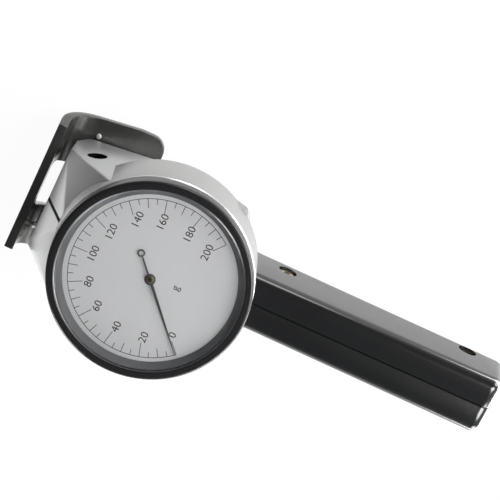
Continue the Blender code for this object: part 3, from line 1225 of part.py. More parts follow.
def make_feeler():
    at = (0, FEELER_Y, 0)
    cap_front = ROLLER_FRONT_Z - ROLLER_WIDTH - CLEARANCE
    top = PLUNGER_Z + PLUNGER_RADIUS / 2 - CLEARANCE
    turned("feeler_pin", [
        (0, top), (FEELER_PIN_RADIUS, top), (FEELER_PIN_RADIUS, cap_front),
        (FEELER_CAP_RADIUS, cap_front), (FEELER_CAP_RADIUS, FEELER_PIN_END_Z), (0, FEELER_PIN_END_Z),
    ], STEEL, at, steps=SCREW_STEPS)
    bore = FEELER_PIN_RADIUS + BORE_CLEARANCE
    back = ROLLER_FRONT_Z - ROLLER_WIDTH
    turned("feeler_roller", [
        (bore, ROLLER_FRONT_Z), (ROLLER_RADIUS, ROLLER_FRONT_Z),
        (ROLLER_RADIUS - ROLLER_GROOVE, ROLLER_FRONT_Z - ROLLER_WIDTH / 2), (ROLLER_RADIUS, back),
        (bore, back),
    ], STEEL, at, steps=PIECE_STEPS)


def make_spring(top, foot):
    """The measuring spring round the plunger, between its collar and the lower lug."""
    top_turn = top - SPRING_WIRE / 2
    foot_turn = foot + SPRING_WIRE / 2
    steps = SPRING_TURNS * SPRING_POINTS
    points = []
    for step in range(steps + 1):
        x, z = on_circle(SPRING_RADIUS, 360 * step / SPRING_POINTS)
        points.append((x, foot_turn + (top_turn - foot_turn) * step / steps, PLUNGER_Z + z))
    wire("measuring_spring", points, SPRING_WIRE / 2, SPRING_STEEL)


def make_frame():
    """The plunger's guide frame: a base on the head's back wall with two bored lugs."""
    base_back = FRAME_BASE_Z - FRAME_BASE_THICKNESS
    top = UPPER_LUG_Y + LUG_THICKNESS
    frame = box("plunger_frame", (-FRAME_HALF_WIDTH - FRAME_EAR, LOWER_LUG_Y, base_back),
                (FRAME_HALF_WIDTH, top, FRAME_BASE_Z), BRASS)
    lugs = [box(f"frame_lug_{number}", (-FRAME_HALF_WIDTH, y, base_back + FRAME_BASE_THICKNESS / 2),
                (FRAME_HALF_WIDTH, y + LUG_THICKNESS, PLUNGER_Z + FRAME_LUG_FRONT))
            for number, y in enumerate((LOWER_LUG_Y, UPPER_LUG_Y), 1)]
    join(frame, *lugs)
    bore = rod("plunger_bore", PLUNGER_RADIUS + BORE_CLEARANCE, LOWER_LUG_Y - OVERRUN, top + OVERRUN,
               None, (0, 0, PLUNGER_Z), (0, 1, 0), PIECE_STEPS)
    cut(frame, bore, *[bpy.data.objects[f"frame_screw_hole_{number}"] for number in (1, 2)])
    for number, (x, y) in enumerate(frame_screw_places(), 1):
        socket_screw(f"frame_screw_{number}", (x, y, FRAME_BASE_Z + CLEARANCE), (0, 0, 1),
                     FRAME_SCREW_HEAD, FRAME_SCREW_HEAD_HEIGHT, FRAME_SCREW_RADIUS,
                     FRAME_SCREW_LENGTH)


def lay_down():
    """Move the frame so that the gauge lies on the ground, centred on the origin."""
    bpy.context.view_layer.update()
    graph = bpy.context.evaluated_depsgraph_get()
    corners = []
    for piece in PARTS.objects:
        if piece.type != "EMPTY":
            shape = piece.evaluated_get(graph)
            mesh = shape.to_mesh()
            corners += [shape.matrix_world @ vert.co for vert in mesh.vertices]
            shape.to_mesh_clear()
    low = [min(corner[i] for corner in corners) for i in range(3)]
    high = [max(corner[i] for corner in corners) for i in range(3)]
    FRAME.location = (-(low[0] + high[0]) / 2, -(low[1] + high[1]) / 2, -low[2])
    bpy.context.view_layer.update()


head_spaces = make_head()
make_handle(head_spaces[1])
make_guard()
make_drum()
make_dial()
make_pointer()
make_plates()
make_pinion()
make_sector()
make_plunger()
make_frame()
lay_down()
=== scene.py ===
# Dial tension gauge: the finished look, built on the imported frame.
# Sizes are in millimetres in the gauge's own frame: X right, Y towards the guard, Z out of the dial.
# weld is the distance under which two points are one, and past is how far a cut or a plane's points reach.
import json
import math
import bmesh
import bpy
from mathutils import Matrix, Vector


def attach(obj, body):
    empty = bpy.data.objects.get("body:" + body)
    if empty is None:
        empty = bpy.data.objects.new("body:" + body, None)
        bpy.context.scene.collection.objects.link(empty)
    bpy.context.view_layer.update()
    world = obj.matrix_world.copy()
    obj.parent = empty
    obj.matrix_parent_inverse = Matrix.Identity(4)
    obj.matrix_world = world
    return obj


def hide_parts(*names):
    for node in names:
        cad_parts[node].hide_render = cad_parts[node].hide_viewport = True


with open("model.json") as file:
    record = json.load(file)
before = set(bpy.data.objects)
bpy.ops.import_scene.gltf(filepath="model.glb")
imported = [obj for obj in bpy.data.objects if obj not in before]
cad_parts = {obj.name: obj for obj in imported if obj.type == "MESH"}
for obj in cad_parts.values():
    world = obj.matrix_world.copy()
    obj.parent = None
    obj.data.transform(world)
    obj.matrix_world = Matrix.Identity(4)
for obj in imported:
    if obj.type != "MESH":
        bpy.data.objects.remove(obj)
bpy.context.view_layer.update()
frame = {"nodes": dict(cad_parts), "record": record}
mm = 0.001
weld = 0.001
past = 10.0
scene = bpy.context.scene
joints = {joint["name"]: joint for joint in frame["record"]["behaviour"]["joints"]}


def gaugePlacement():
    # the pointer's joint gives the dial's axis, 1 mm in front of the dial plate
    outward = Vector(joints["pointer_turn"]["axis"]).normalized()
    across = Vector((1, 0, 0))
    along = outward.cross(across)
    placed = Matrix((across, along, outward)).transposed().to_4x4()
    placed.translation = Vector(joints["pointer_turn"]["pos_m"]) - outward * mm
    return placed


place = gaugePlacement()
leanDegrees = math.degrees(math.atan2(place[2][1], place[1][1]))


# Mesh helpers

def spun(points, steps=144):
    # turn (radius, height) points about Z; an outline off the axis is closed first
    bm = bmesh.new()
    corners = [bm.verts.new((radius * mm, 0, height * mm)) for radius, height in points]
    edges = [bm.edges.new(pair) for pair in zip(corners, corners[1:])]
    if points[0][0] > 0:
        edges.append(bm.edges.new((corners[-1], corners[0])))
    bmesh.ops.spin(bm, geom=corners + edges, cent=(0, 0, 0), axis=(0, 0, 1), dvec=(0, 0, 0),
                   angle=2 * math.pi, steps=steps, use_merge=True)
    bmesh.ops.remove_doubles(bm, verts=bm.verts, dist=weld * mm)
    bmesh.ops.recalc_face_normals(bm, faces=bm.faces)
    return bm


def softCorners(corners, steps=4):
    # round each (a, b, radius) corner of a closed outline
    outline = []
    for index, (a, b, radius) in enumerate(corners):
        here = Vector((a, b))
        if radius == 0:
            outline.append((a, b))
            continue
        before = (Vector(corners[index - 1][:2]) - here).normalized()
        after = (Vector(corners[(index + 1) % len(corners)][:2]) - here).normalized()
        half = before.angle(after) / 2
        middle = here + (before + after).normalized() * radius / math.sin(half)
        start = here + before * radius / math.tan(half) - middle
        end = here + after * radius / math.tan(half) - middle
        sweep = start.angle_signed(end)
        for step in range(steps + 1):
            point = middle + Matrix.Rotation(-sweep * step / steps, 2) @ start
            outline.append((point.x, point.y))
    return outline


def arcPoints(radius, start, end, steps, centre=(0, 0)):
    turns = [start + (end - start) * step / steps for step in range(steps + 1)]
    return [(centre[0] + radius * math.cos(a), centre[1] + radius * math.sin(a)) for a in turns]


def prism(outline, low, high):
    bm = bmesh.new()
    face = bm.faces.new([bm.verts.new((x * mm, y * mm, low * mm)) for x, y in outline])
    raised = bmesh.ops.extrude_face_region(bm, geom=[face])
    tops = [item for item in raised["geom"] if isinstance(item, bmesh.types.BMVert)]
    bmesh.ops.translate(bm, verts=tops, vec=(0, 0, (high - low) * mm))
    bmesh.ops.recalc_face_normals(bm, faces=bm.faces)
    return bm


def block(low, high):
    bm = bmesh.new()
    bmesh.ops.create_cube(bm, size=1)
    size = [(b - a) * mm for a, b in zip(low, high)]
    middle = [(a + b) / 2 * mm for a, b in zip(low, high)]
    bmesh.ops.scale(bm, verts=bm.verts, vec=size)
    bmesh.ops.translate(bm, verts=bm.verts, vec=middle)
    return bm


def rod(radius, low, high, at=(0, 0), axis="Z", steps=48):
    # a cylinder along one axis of the gauge; at gives the other two places
    bm = bmesh.new()
    bmesh.ops.create_cone(bm, cap_ends=True, segments=steps, radius1=radius * mm, radius2=radius * mm,
                          depth=(high - low) * mm)
    bmesh.ops.translate(bm, verts=bm.verts, vec=(0, 0, (low + high) / 2 * mm))
    moved = Matrix.Translation((at[0] * mm, at[1] * mm, 0))
    if axis == "X":
        moved = Matrix.Translation((0, at[0] * mm, at[1] * mm)) @ Matrix.Rotation(math.pi / 2, 4, "Y")
    bmesh.ops.transform(bm, verts=bm.verts, matrix=moved)
    return bm


def bevelled(bm, edges, offset, segments):
    bmesh.ops.bevel(bm, geom=edges, offset=offset * mm, segments=segments, profile=0.5,
                    affect="EDGES", material=-1, clamp_overlap=True)


def sharpEdges(bm, degrees=35):
    return [e for e in bm.edges if len(e.link_faces) == 2 and e.calc_face_angle() > math.radians(degrees)]


def helperObject(bm):
    mesh = bpy.data.meshes.new("helper")
    bm.to_mesh(mesh)
    bm.free()
    helper = bpy.data.objects.new("helper", mesh)
    scene.collection.objects.link(helper)
    return helper


def carved(bm, tools, operation="DIFFERENCE"):
    # Boolean with each tool in turn; all the meshes handed in are used up
    blank = helperObject(bm)
    helpers = [helperObject(tool) for tool in tools]
    for helper in helpers:
        change = blank.modifiers.new("carve", "BOOLEAN")
        change.operation = operation
        change.object = helper
    bpy.context.view_layer.update()
    shape = bpy.data.meshes.new_from_object(blank.evaluated_get(bpy.context.evaluated_depsgraph_get()))
    result = bmesh.new()
    result.from_mesh(shape)
    bpy.data.meshes.remove(shape)
    for helper in [blank, *helpers]:
        mesh = helper.data
        bpy.data.objects.remove(helper)
        bpy.data.meshes.remove(mesh)
    return result


def addPiece(name, bm, finish, nodes=(), body="case", angle=32):
    bm.transform(place)
    mesh = bpy.data.meshes.new(name)
    bm.to_mesh(mesh)
    bm.free()
    mesh.shade_smooth()
    mesh.set_sharp_from_angle(angle=math.radians(angle))
    mesh.materials.append(finish)
    piece = bpy.data.objects.new(name, mesh)
    scene.collection.objects.link(piece)
    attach(piece, body)
    if nodes:
        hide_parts(*nodes)
    return piece


def joined(meshes):
    # several separate shells as one mesh
    whole = bmesh.new()
    for bm in meshes:
        mesh = bpy.data.meshes.new("part")
        bm.to_mesh(mesh)
        bm.free()
        whole.from_mesh(mesh)
        bpy.data.meshes.remove(mesh)
    return whole


# Shared shader groups

def newGroup(name, inputs, outputs):
    group = bpy.data.node_groups.new(name, "ShaderNodeTree")
    for label, kind, value in inputs:
        socket = group.interface.new_socket(label, in_out="INPUT", socket_type=kind)
        if value is not None:
            socket.default_value = value
    for label, kind in outputs:
        group.interface.new_socket(label, in_out="OUTPUT", socket_type=kind)
    return group, group.nodes.new("NodeGroupInput"), group.nodes.new("NodeGroupOutput")


def addNode(tree, kind, values=None, **settings):
    node = tree.nodes.new(kind)
    for key, value in settings.items():
        setattr(node, key, value)
    for key, value in (values or {}).items():
        node.inputs[key].default_value = value
    return node


def fineGrain():
    # small even grain, as on sprayed paint or spark-eroded plastic
    group, source, result = newGroup(
        "fineGrain",
        [("Vector", "NodeSocketVector", None), ("Scale", "NodeSocketFloat", 1000.0)],
        [("Height", "NodeSocketFloat"), ("Mask", "NodeSocketFloat")])
    noise = addNode(group, "ShaderNodeTexNoise", {"Detail": 2.0, "Roughness": 0.6})
    spread = addNode(group, "ShaderNodeMapRange", {"From Min": 0.35, "From Max": 0.65})
    group.links.new(source.outputs["Vector"], noise.inputs["Vector"])
    group.links.new(source.outputs["Scale"], noise.inputs["Scale"])
    group.links.new(noise.outputs["Fac"], spread.inputs["Value"])
    group.links.new(noise.outputs["Fac"], result.inputs["Height"])
    group.links.new(spread.outputs["Result"], result.inputs["Mask"])
    return group


def handling():
    # faint broad patches left by hands and cloths
    group, source, result = newGroup(
        "handling",
        [("Vector", "NodeSocketVector", None), ("Scale", "NodeSocketFloat", 60.0),
         ("Amount", "NodeSocketFloat", 0.5)],
        [("Mask", "NodeSocketFloat")])
    broad = addNode(group, "ShaderNodeTexNoise", {"Detail": 4.0, "Roughness": 0.65, "Distortion": 0.6})
    spread = addNode(group, "ShaderNodeMapRange", {"From Min": 0.42, "From Max": 0.72})
    amount = addNode(group, "ShaderNodeMath", operation="MULTIPLY")
    group.links.new(source.outputs["Vector"], broad.inputs["Vector"])
    group.links.new(source.outputs["Scale"], broad.inputs["Scale"])
    group.links.new(broad.outputs["Fac"], spread.inputs["Value"])
    group.links.new(spread.outputs["Result"], amount.inputs[0])
    group.links.new(source.outputs["Amount"], amount.inputs[1])
    group.links.new(amount.outputs["Value"], result.inputs["Mask"])
    return group


def turnedLines():
    # fine lines round the dial's axis; the vector is already in the gauge's frame
    group, source, result = newGroup(
        "turnedLines",
        [("Vector", "NodeSocketVector", None), ("Scale", "NodeSocketFloat", 2000.0)],
        [("Height", "NodeSocketFloat"), ("Mask", "NodeSocketFloat")])
    flat = addNode(group, "ShaderNodeVectorMath", {1: (1, 1, 0)}, operation="MULTIPLY")
    radius = addNode(group, "ShaderNodeVectorMath", operation="LENGTH")
    parts = addNode(group, "ShaderNodeSeparateXYZ")
    pair = addNode(group, "ShaderNodeCombineXYZ")
    noise = addNode(group, "ShaderNodeTexNoise", {"Detail": 3.0, "Roughness": 0.7})
    spread = addNode(group, "ShaderNodeMapRange", {"From Min": 0.3, "From Max": 0.7})
    links = group.links
    links.new(source.outputs["Vector"], flat.inputs[0])
    links.new(flat.outputs["Vector"], radius.inputs[0])
    links.new(source.outputs["Vector"], parts.inputs["Vector"])
    links.new(radius.outputs["Value"], pair.inputs["X"])
    links.new(parts.outputs["Z"], pair.inputs["Y"])
    links.new(pair.outputs["Vector"], noise.inputs["Vector"])
    links.new(source.outputs["Scale"], noise.inputs["Scale"])
    links.new(noise.outputs["Fac"], spread.inputs["Value"])
    links.new(noise.outputs["Fac"], result.inputs["Height"])
    links.new(spread.outputs["Result"], result.inputs["Mask"])
    return group


grainGroup = fineGrain()
handlingGroup = handling()
linesGroup = turnedLines()
print("shader groups ready")


# Finishes

def newFinish(name, values):
    finish = bpy.data.materials.new(name)
    finish.use_nodes = True
    tree = finish.node_tree
    shader = tree.nodes["Principled BSDF"]
    for key, value in values.items():
        shader.inputs[key].default_value = value
    place3d = addNode(tree, "ShaderNodeTexCoord").outputs["Object"]
    return finish, tree, shader, place3d


def useGroup(tree, group, vector, values):
    node = addNode(tree, "ShaderNodeGroup", node_tree=group)
    for key, value in values.items():
        node.inputs[key].default_value = value
    tree.links.new(vector, node.inputs["Vector"])
    return node


def twoColours(tree, shader, mask, first, second):
    mix = addNode(tree, "ShaderNodeMix", data_type="RGBA")
    mix.inputs["A"].default_value = (*first, 1)
    mix.inputs["B"].default_value = (*second, 1)
    tree.links.new(mask, mix.inputs["Factor"])
    tree.links.new(mix.outputs["Result"], shader.inputs["Base Color"])


def roughBetween(tree, shader, mask, low, high):
    spread = addNode(tree, "ShaderNodeMapRange", {"To Min": low, "To Max": high})
    tree.links.new(mask, spread.inputs["Value"])
    tree.links.new(spread.outputs["Result"], shader.inputs["Roughness"])


def bumpFrom(tree, shader, height, strength, distance):
    bump = addNode(tree, "ShaderNodeBump", {"Strength": strength, "Distance": distance * mm})
    tree.links.new(height, bump.inputs["Height"])
    tree.links.new(bump.outputs["Normal"], shader.inputs["Normal"])


def inGaugeFrame(tree, vector):
    # undo the gauge's lean and place, so that a pattern is centred on the dial's axis
    mapping = addNode(tree, "ShaderNodeMapping", vector_type="TEXTURE")
    mapping.inputs["Location"].default_value = place.translation
    mapping.inputs["Rotation"].default_value = (math.radians(leanDegrees), 0, 0)
    tree.links.new(vector, mapping.inputs["Vector"])
    return mapping.outputs["Vector"]


def grainedFinish(name, values, first, second, grainScale, bump, roughLow, roughHigh):
    # bump is (strength, depth in mm); the scales count repeats to the metre
    finish, tree, shader, vector = newFinish(name, values)
    grain = useGroup(tree, grainGroup, vector, {"Scale": grainScale})
    hands = useGroup(tree, handlingGroup, vector, {"Scale": 45.0, "Amount": 0.8})
    twoColours(tree, shader, grain.outputs["Mask"], first, second)
    roughBetween(tree, shader, hands.outputs["Mask"], roughLow, roughHigh)
    bumpFrom(tree, shader, grain.outputs["Height"], *bump)
    return finish


def turnedFinish(name, values, first, second, lineScale, bump, roughLow, roughHigh):
    finish, tree, shader, vector = newFinish(name, values)
    centred = inGaugeFrame(tree, vector)
    lines = useGroup(tree, linesGroup, centred, {"Scale": lineScale})
    twoColours(tree, shader, lines.outputs["Mask"], first, second)
    roughBetween(tree, shader, lines.outputs["Mask"], roughLow, roughHigh)
    bumpFrom(tree, shader, lines.outputs["Height"], *bump)
    return finish


silverPaint = grainedFinish("silverPaint", {"Metallic": 0.6, "Specular IOR Level": 0.5},
                            (0.49, 0.495, 0.495), (0.565, 0.57, 0.57), 2600.0, (0.2, 0.02), 0.29, 0.36)
drumSilver = turnedFinish("drumSilver", {"Metallic": 0.75}, (0.41, 0.41, 0.405), (0.48, 0.48, 0.475),
                          3000.0, (0.12, 0.01), 0.30, 0.42)
# painted highlight for the drum's front edge catching the light
paintedHighlightEdge = turnedFinish("paintedHighlightEdge", {"Metallic": 0.9}, (0.82, 0.82, 0.82), (0.90, 0.90, 0.90),
                          3500.0, (0.1, 0.005), 0.22, 0.32)
blackPlastic = grainedFinish("blackPlastic", {"Specular IOR Level": 0.1, "Coat Weight": 1.0,
                                              "Coat Roughness": 0.15, "Coat IOR": 1.7},
                             (0.006, 0.0065, 0.007), (0.010, 0.0105, 0.011),
                             3200.0, (0.25, 0.02), 0.34, 0.42)
bezelBlack = turnedFinish("bezelBlack", {"Specular IOR Level": 0.5}, (0.010, 0.010, 0.011),
                          (0.016, 0.016, 0.017), 2500.0, (0.08, 0.005), 0.20, 0.28)
gunmetal = grainedFinish("gunmetal", {"Metallic": 0.6, "Coat Weight": 0.3, "Coat Roughness": 0.2},
                         (0.088, 0.089, 0.083), (0.118, 0.119, 0.112), 2200.0, (0.25, 0.02), 0.20, 0.28)
dialSilver = grainedFinish("dialSilver", {"Metallic": 0.1},
                           (0.79, 0.795, 0.805), (0.83, 0.835, 0.845), 4200.0, (0.1, 0.005), 0.42, 0.52)
ringGrey = turnedFinish("ringGrey", {"Specular IOR Level": 0.25},
                        (0.15, 0.156, 0.166), (0.195, 0.20, 0.212),
                        2600.0, (0.1, 0.01), 0.45, 0.55)
# painted highlight for the bezel's inner lip catching the light
highlightGrey = turnedFinish("highlightGrey", {"Metallic": 0.7}, (0.15, 0.152, 0.156), (0.20, 0.202, 0.206),
                        3000.0, (0.1, 0.005), 0.26, 0.36)
inkBlack = grainedFinish("inkBlack", {}, (0.018, 0.018, 0.02), (0.03, 0.03, 0.033),
                         5000.0, (0.1, 0.002), 0.5, 0.6)
pointerBlack = grainedFinish("pointerBlack", {"Metallic": 0.3}, (0.10, 0.102, 0.106), (0.14, 0.142, 0.146),
                             3000.0, (0.1, 0.005), 0.32, 0.42)
brass = grainedFinish("brass", {"Metallic": 1.0}, (0.30, 0.26, 0.16), (0.40, 0.35, 0.21),
                      2500.0, (0.1, 0.005), 0.26, 0.36)
screwBrass = grainedFinish("screwBrass", {"Metallic": 1.0}, (0.62, 0.55, 0.36), (0.72, 0.64, 0.44),
                           2500.0, (0.1, 0.005), 0.24, 0.34)
steel = grainedFinish("steel", {"Metallic": 1.0}, (0.56, 0.56, 0.57), (0.66, 0.66, 0.67),
                      2800.0, (0.08, 0.003), 0.18, 0.28)
# dark seams, and the painted shade in the upper counterbore
deepBlack = grainedFinish("deepBlack", {"Specular IOR Level": 0.05}, (0.004, 0.004, 0.004),
                          (0.007, 0.007, 0.007), 3000.0, (0.1, 0.005), 0.6, 0.7)
pinSteel = grainedFinish("pinSteel", {"Metallic": 0.6}, (0.80, 0.80, 0.76), (0.86, 0.86, 0.82),
                         2800.0, (0.08, 0.003), 0.45, 0.55)
springSteel = grainedFinish("springSteel", {"Metallic": 1.0}, (0.34, 0.35, 0.37), (0.42, 0.43, 0.45),
                            2800.0, (0.08, 0.003), 0.24, 0.34)


def clearGlass():
    finish, tree, shader, vector = newFinish(
        "clearGlass", {"Base Color": (1, 1, 1, 1), "Roughness": 0.02, "IOR": 1.45,
                       "Transmission Weight": 1.0, "Metallic": 0.0})
    hands = useGroup(tree, handlingGroup, vector, {"Scale": 25.0, "Amount": 0.3})
    roughBetween(tree, shader, hands.outputs["Mask"], 0.01, 0.03)
    return finish


glass = clearGlass()
print("finishes ready")


# Head: a faceted casting in two halves

# ridge is its end's X and Y, then its Y and Z; lower is the lower tab's front X, back X, Y and Z;
# shoulder and neck are (X, Y), the facet's foot and corner (X, Y, Z), the other points (Y, Z);
# throat is a radius and two heights; slot is half its width, two Ys and its front
headSizes = {
    "ridge": (23.0, 48.7, 49.5, -40.6),
    "slopeFoot": (41.2, -17.0),
    "facetFoot": (8.4, 40.7, -18.0),
    "facetCorner": (28.6, 30.9, -5.5),
    "topBack": (48.4, -56.0),
    "backTop": (44.4, -60.5),
    "backFoot": (-35.9, -56.5),
    "flankBack": 24.9,
    "flankFront": 40.7,
    "lower": (36.2, 27.5, -21.7, -56.0),
    "shoulder": (25.6, -29.6),
    "neck": (12.2, -35.3),
    "front": -27.3,
    "halfWidth": 41.8,
    "deepest": -68.0,
    "wall": 2.0,
    "skin": 2.2,
    "parting": 1.55,
    "partingEdge": 0.06,
    "edge": 0.7,
    "shortest": 0.3,
    "openBelow": 18.0,
    "throat": (26.0, -32.0, -26.0),
    "holeEnd": -52.0,
    "slot": (1.4, 40.2, 45.8, -55.5),
    "boss": 5.2,
    "seamFrom": 20.0,
    "seamSide": 0.1,
    "seamSunk": 0.05,
    "seamInside": 1.4,
    "seamRoom": (0.3, 3.0),
    # the dark sleeve of painted shade in the upper counterbore
    "wellShade": (3.87, 3.97),
    "wellShadeLow": 3.1,
    "wellShadeEnd": 34.0,
    "wellShadeSunk": 0.15,
}

# Shared by the pieces: the drum's recess and its steps round, a reach past any side, and how near the
# parting a corner counts as on it
drumRoom = 41.84
roundSteps = 192
wide = 50.0
partingReach = 0.01

# Socket screws: head and shank radius, head height, hexagon across flats, and small edges
sideScrew = {"head": 3.3, "height": 2.6, "shank": 1.5, "hexagon": 2.5,
             "edge": 0.35, "under": 0.1, "tip": 0.4}
backScrew = {**sideScrew, "head": 2.7, "height": 1.6, "hexagon": 2.0}
socketShare = 0.35
bore = 4.0
screwHole = 1.7

# each side screw: Y and Z of its axis, X of its seat and of the counterbore's floor, and its length
headScrews = {
    "upper": {"at": (38.5, -37.0), "seat": 20.8, "floor": 20.5, "length": 30.0},
    "lower": {"at": (-14.0, -46.0), "seat": 24.3, "floor": 24.0, "length": 34.0},
}
guardScrews = {"x": 15.0, "y": 24.0, "seat": -66.3, "length": 14.2}


def planeThrough(first, second, third, outside):
    a, b, c = Vector(first), Vector(second), Vector(third)
    normal = (b - a).cross(c - a).normalized()
    if normal.dot(Vector(outside)) < 0:
        normal.negate()
    return a * mm, normal


def headPlanes():
    s = headSizes
    ridgeX, ridgeEndY, ridgeY, ridgeZ = s["ridge"]
    frontX, backX, lowerY, lowerZ = s["lower"]
    topBack = (0, *s["topBack"])
    backTop = (0, *s["backTop"])
    backFoot = (0, *s["backFoot"])
    ridge = (0, ridgeY, ridgeZ)
    far = Vector((past, 0, 0))
    deep = Vector((0, 0, past))
    planes = [
        planeThrough(ridge, (0, *s["slopeFoot"]), Vector(ridge) + far, (0, 1, 0)),
        planeThrough(ridge, topBack, Vector(ridge) + far, (0, 1, 0)),
        planeThrough(topBack, backTop, Vector(topBack) + far, (0, 1, 0)),
        planeThrough(backTop, backFoot, Vector(backTop) + far, (0, 0, -1)),
        planeThrough(backFoot, Vector(backFoot) + far, Vector(backFoot) + deep, (0, -1, 0)),
    ]
    for side in (-1, 1):
        foot, corner = Vector(s["facetFoot"]), Vector(s["facetCorner"])
        foot.x *= side
        corner.x *= side
        ridgeEnd = Vector((side * ridgeX, ridgeEndY, ridgeZ))
        shoulder = Vector((side * s["shoulder"][0], s["shoulder"][1], lowerZ))
        neck = (side * s["neck"][0], s["neck"][1], lowerZ)
        flankFoot = (side * s["flankBack"], 0, backTop[2])
        flankHead = (side * s["flankBack"], topBack[1], backTop[2])
        flankFront = (side * s["flankFront"], 0, s["front"])
        lowerFront = (side * frontX, lowerY, s["front"])
        lowerBack = (side * backX, lowerY, lowerZ)
        out = (side, 0, 0)
        planes += [
            planeThrough(ridgeEnd, foot, corner, (0, 1, 0)),
            planeThrough(ridgeEnd, corner, (corner.x, corner.y, ridgeZ), out),
            planeThrough(flankFoot, flankFront, flankHead, out),
            planeThrough(lowerFront, lowerBack, shoulder, out),
            planeThrough(shoulder, shoulder + deep, neck, (0, -1, 0)),
        ]
    return planes


def sliceOff(bm, point, normal):
    everything = bm.verts[:] + bm.edges[:] + bm.faces[:]
    sliced = bmesh.ops.bisect_plane(bm, geom=everything, dist=weld * mm, plane_co=point, plane_no=normal,
                                    clear_outer=True)
    rim = [item for item in sliced["geom_cut"] if isinstance(item, bmesh.types.BMEdge)]
    if rim:
        bmesh.ops.edgeloop_fill(bm, edges=rim)


def sliceParting(bm, x, keep):
    # cut at a plane across X; keep is the side that stays, 1 for right and -1 for left
    sliceOff(bm, Vector((x * mm, 0, 0)), Vector((-keep, 0, 0)))


def headBlock(inset, front):
    s = headSizes
    bm = block((-s["halfWidth"], s["backFoot"][0], s["deepest"]), (s["halfWidth"], s["ridge"][2], front))
    for point, normal in headPlanes():
        sliceOff(bm, point - normal * inset * mm, normal)
    return bm


def headSlot():
    # the thread's way through the head's top
    half, low, high, front = headSizes["slot"]
    return block((-half, low, headSizes["deepest"]), (half, high, front))


def sideHoles(screws):
    # each screw's counterbore and the hole under it
    holes = []
    for screw in screws.values():
        holes.append(rod(bore, screw["floor"], wide, screw["at"], "X"))
        holes.append(rod(screwHole, 0, screw["floor"] + 1, screw["at"], "X"))
    return holes


def makeHeadHalf(name, side):
    s = headSizes
    bm = headBlock(0, 0)
    sliceParting(bm, side * s["parting"] / 2, side)
    bmesh.ops.remove_doubles(bm, verts=bm.verts, dist=s["shortest"] * mm)
    flat = (s["parting"] / 2 + partingReach) * mm
    atParting = [e for e in bm.edges if all(abs(v.co.x) < flat for v in e.verts)]
    outer = [e for e in sharpEdges(bm, 8) if e not in atParting]
    bevelled(bm, outer, s["edge"], 4)
    atParting = [e for e in sharpEdges(bm, 40) if all(abs(v.co.x) < flat for v in e.verts)]
    bevelled(bm, atParting, s["partingEdge"], 2)
    bosses = [rod(s["boss"], -wide, wide, screw["at"], "X") for screw in headScrews.values()]
    cavity = carved(headBlock(s["wall"], s["front"] - s["skin"]), bosses)
    throat, throatLow, throatHigh = s["throat"]
    tools = [rod(drumRoom, s["front"], past, steps=roundSteps),
             block((-wide, -wide, s["front"]), (wide, s["openBelow"], past)), cavity,
             rod(throat, throatLow, throatHigh, steps=96), headSlot()]
    if side > 0:
        tools += sideHoles(headScrews)
    for x in (-guardScrews["x"], guardScrews["x"]):
        tools.append(rod(screwHole, guardScrews["seat"], s["holeEnd"], (x, guardScrews["y"])))
    bm = carved(bm, tools)
    addPiece(name + "Cast", bm, silverPaint, [name], angle=28)


def makeScrew(name, node, finish, sizes, length, at, axis):
    # chamfered head with a hexagon socket, and a plain shank
    head, height, shank = sizes["head"], sizes["height"], sizes["shank"]
    edge, under, tip = sizes["edge"], sizes["under"], sizes["tip"]
    bm = spun([(0, height), (head - edge, height), (head, height - edge), (head, under), (head - under, 0),
               (shank, 0), (shank, tip - length), (shank - tip, -length), (0, -length)], 48)
    hexagon = arcPoints(sizes["hexagon"] / math.sqrt(3), 0, 2 * math.pi * 5 / 6, 5)
    bm = carved(bm, [prism(hexagon, height * socketShare, height + 1)])
    turn = Vector((0, 0, 1)).rotation_difference(Vector(axis)).to_matrix().to_4x4()
    bm.transform(Matrix.Translation(Vector(at) * mm) @ turn)
    addPiece(name, bm, finish, [node])


def makeSideScrews(piece, screws):
    for label, screw in screws.items():
        makeScrew(f"{piece}Screw{label.title()}", f"{piece}_screw_{label}", screwBrass, sideScrew,
                  screw["length"], (screw["seat"], *screw["at"]), (1, 0, 0))


def makeSeam():
    # a dark strip sunk in the gap between the two halves
    s = headSizes
    half = s["parting"] / 2 + s["seamSide"]
    bm = headBlock(s["seamSunk"], 0)
    for side in (-1, 1):
        sliceParting(bm, side * half, -side)
    wider, deeper = s["seamRoom"]
    tools = [headBlock(s["seamInside"], s["front"] + 1),
             rod(drumRoom + wider, s["front"] - deeper, past, steps=roundSteps),
             block((-wide, -wide, s["deepest"] - past), (wide, s["seamFrom"], past)), headSlot()]
    addPiece("headSeam", carved(bm, tools), deepBlack)


def makeWellShade():
    # painted shade: a dark sleeve on the counterbore's wall above the screw, standing in for the bore's
    # shadowed wall
    s = headSizes
    screw = headScrews["upper"]
    inner, outer = s["wellShade"]
    bm = rod(outer, screw["floor"] + s["wellShadeLow"], s["wellShadeEnd"], screw["at"], "X")
    for point, normal in headPlanes():
        sliceOff(bm, point - normal * s["wellShadeSunk"] * mm, normal)
    addPiece("headWellShade", carved(bm, [rod(inner, screw["floor"], wide, screw["at"], "X")]), deepBlack)


makeHeadHalf("head_left", -1)
makeHeadHalf("head_right", 1)
makeSeam()
makeWellShade()
makeSideScrews("head", headScrews)
print("head ready")


# Handle: two moulded shells with a groove between them

handleSizes = {
    "front": -23.5,
    "back": -57.0,
    "endBack": -52.5,
    "rake": 2.2,
    "top": -36.2,
    "end": -152.3,
    "neckHalf": 12.0,
    "endHalf": 12.9,
    "corner": 4.5,
    "parting": 0.3,
    "groove": 0.35,
    "drumStep": 3.8,
    "stripHalf": 0.2,
    "stripTop": -42.0,
    "stripEnd": 2.0,
    "stripBack": 1.0,
    "stripFront": 1.8,
    "stripThick": 1.4,
}
handleScrews = {
    "upper": {"at": (-53.6, -45.7), "seat": 8.6, "floor": 8.3, "length": 14.0},
    "lower": {"at": (-136.3, -45.7), "seat": 8.6, "floor": 8.3, "length": 14.0},
}


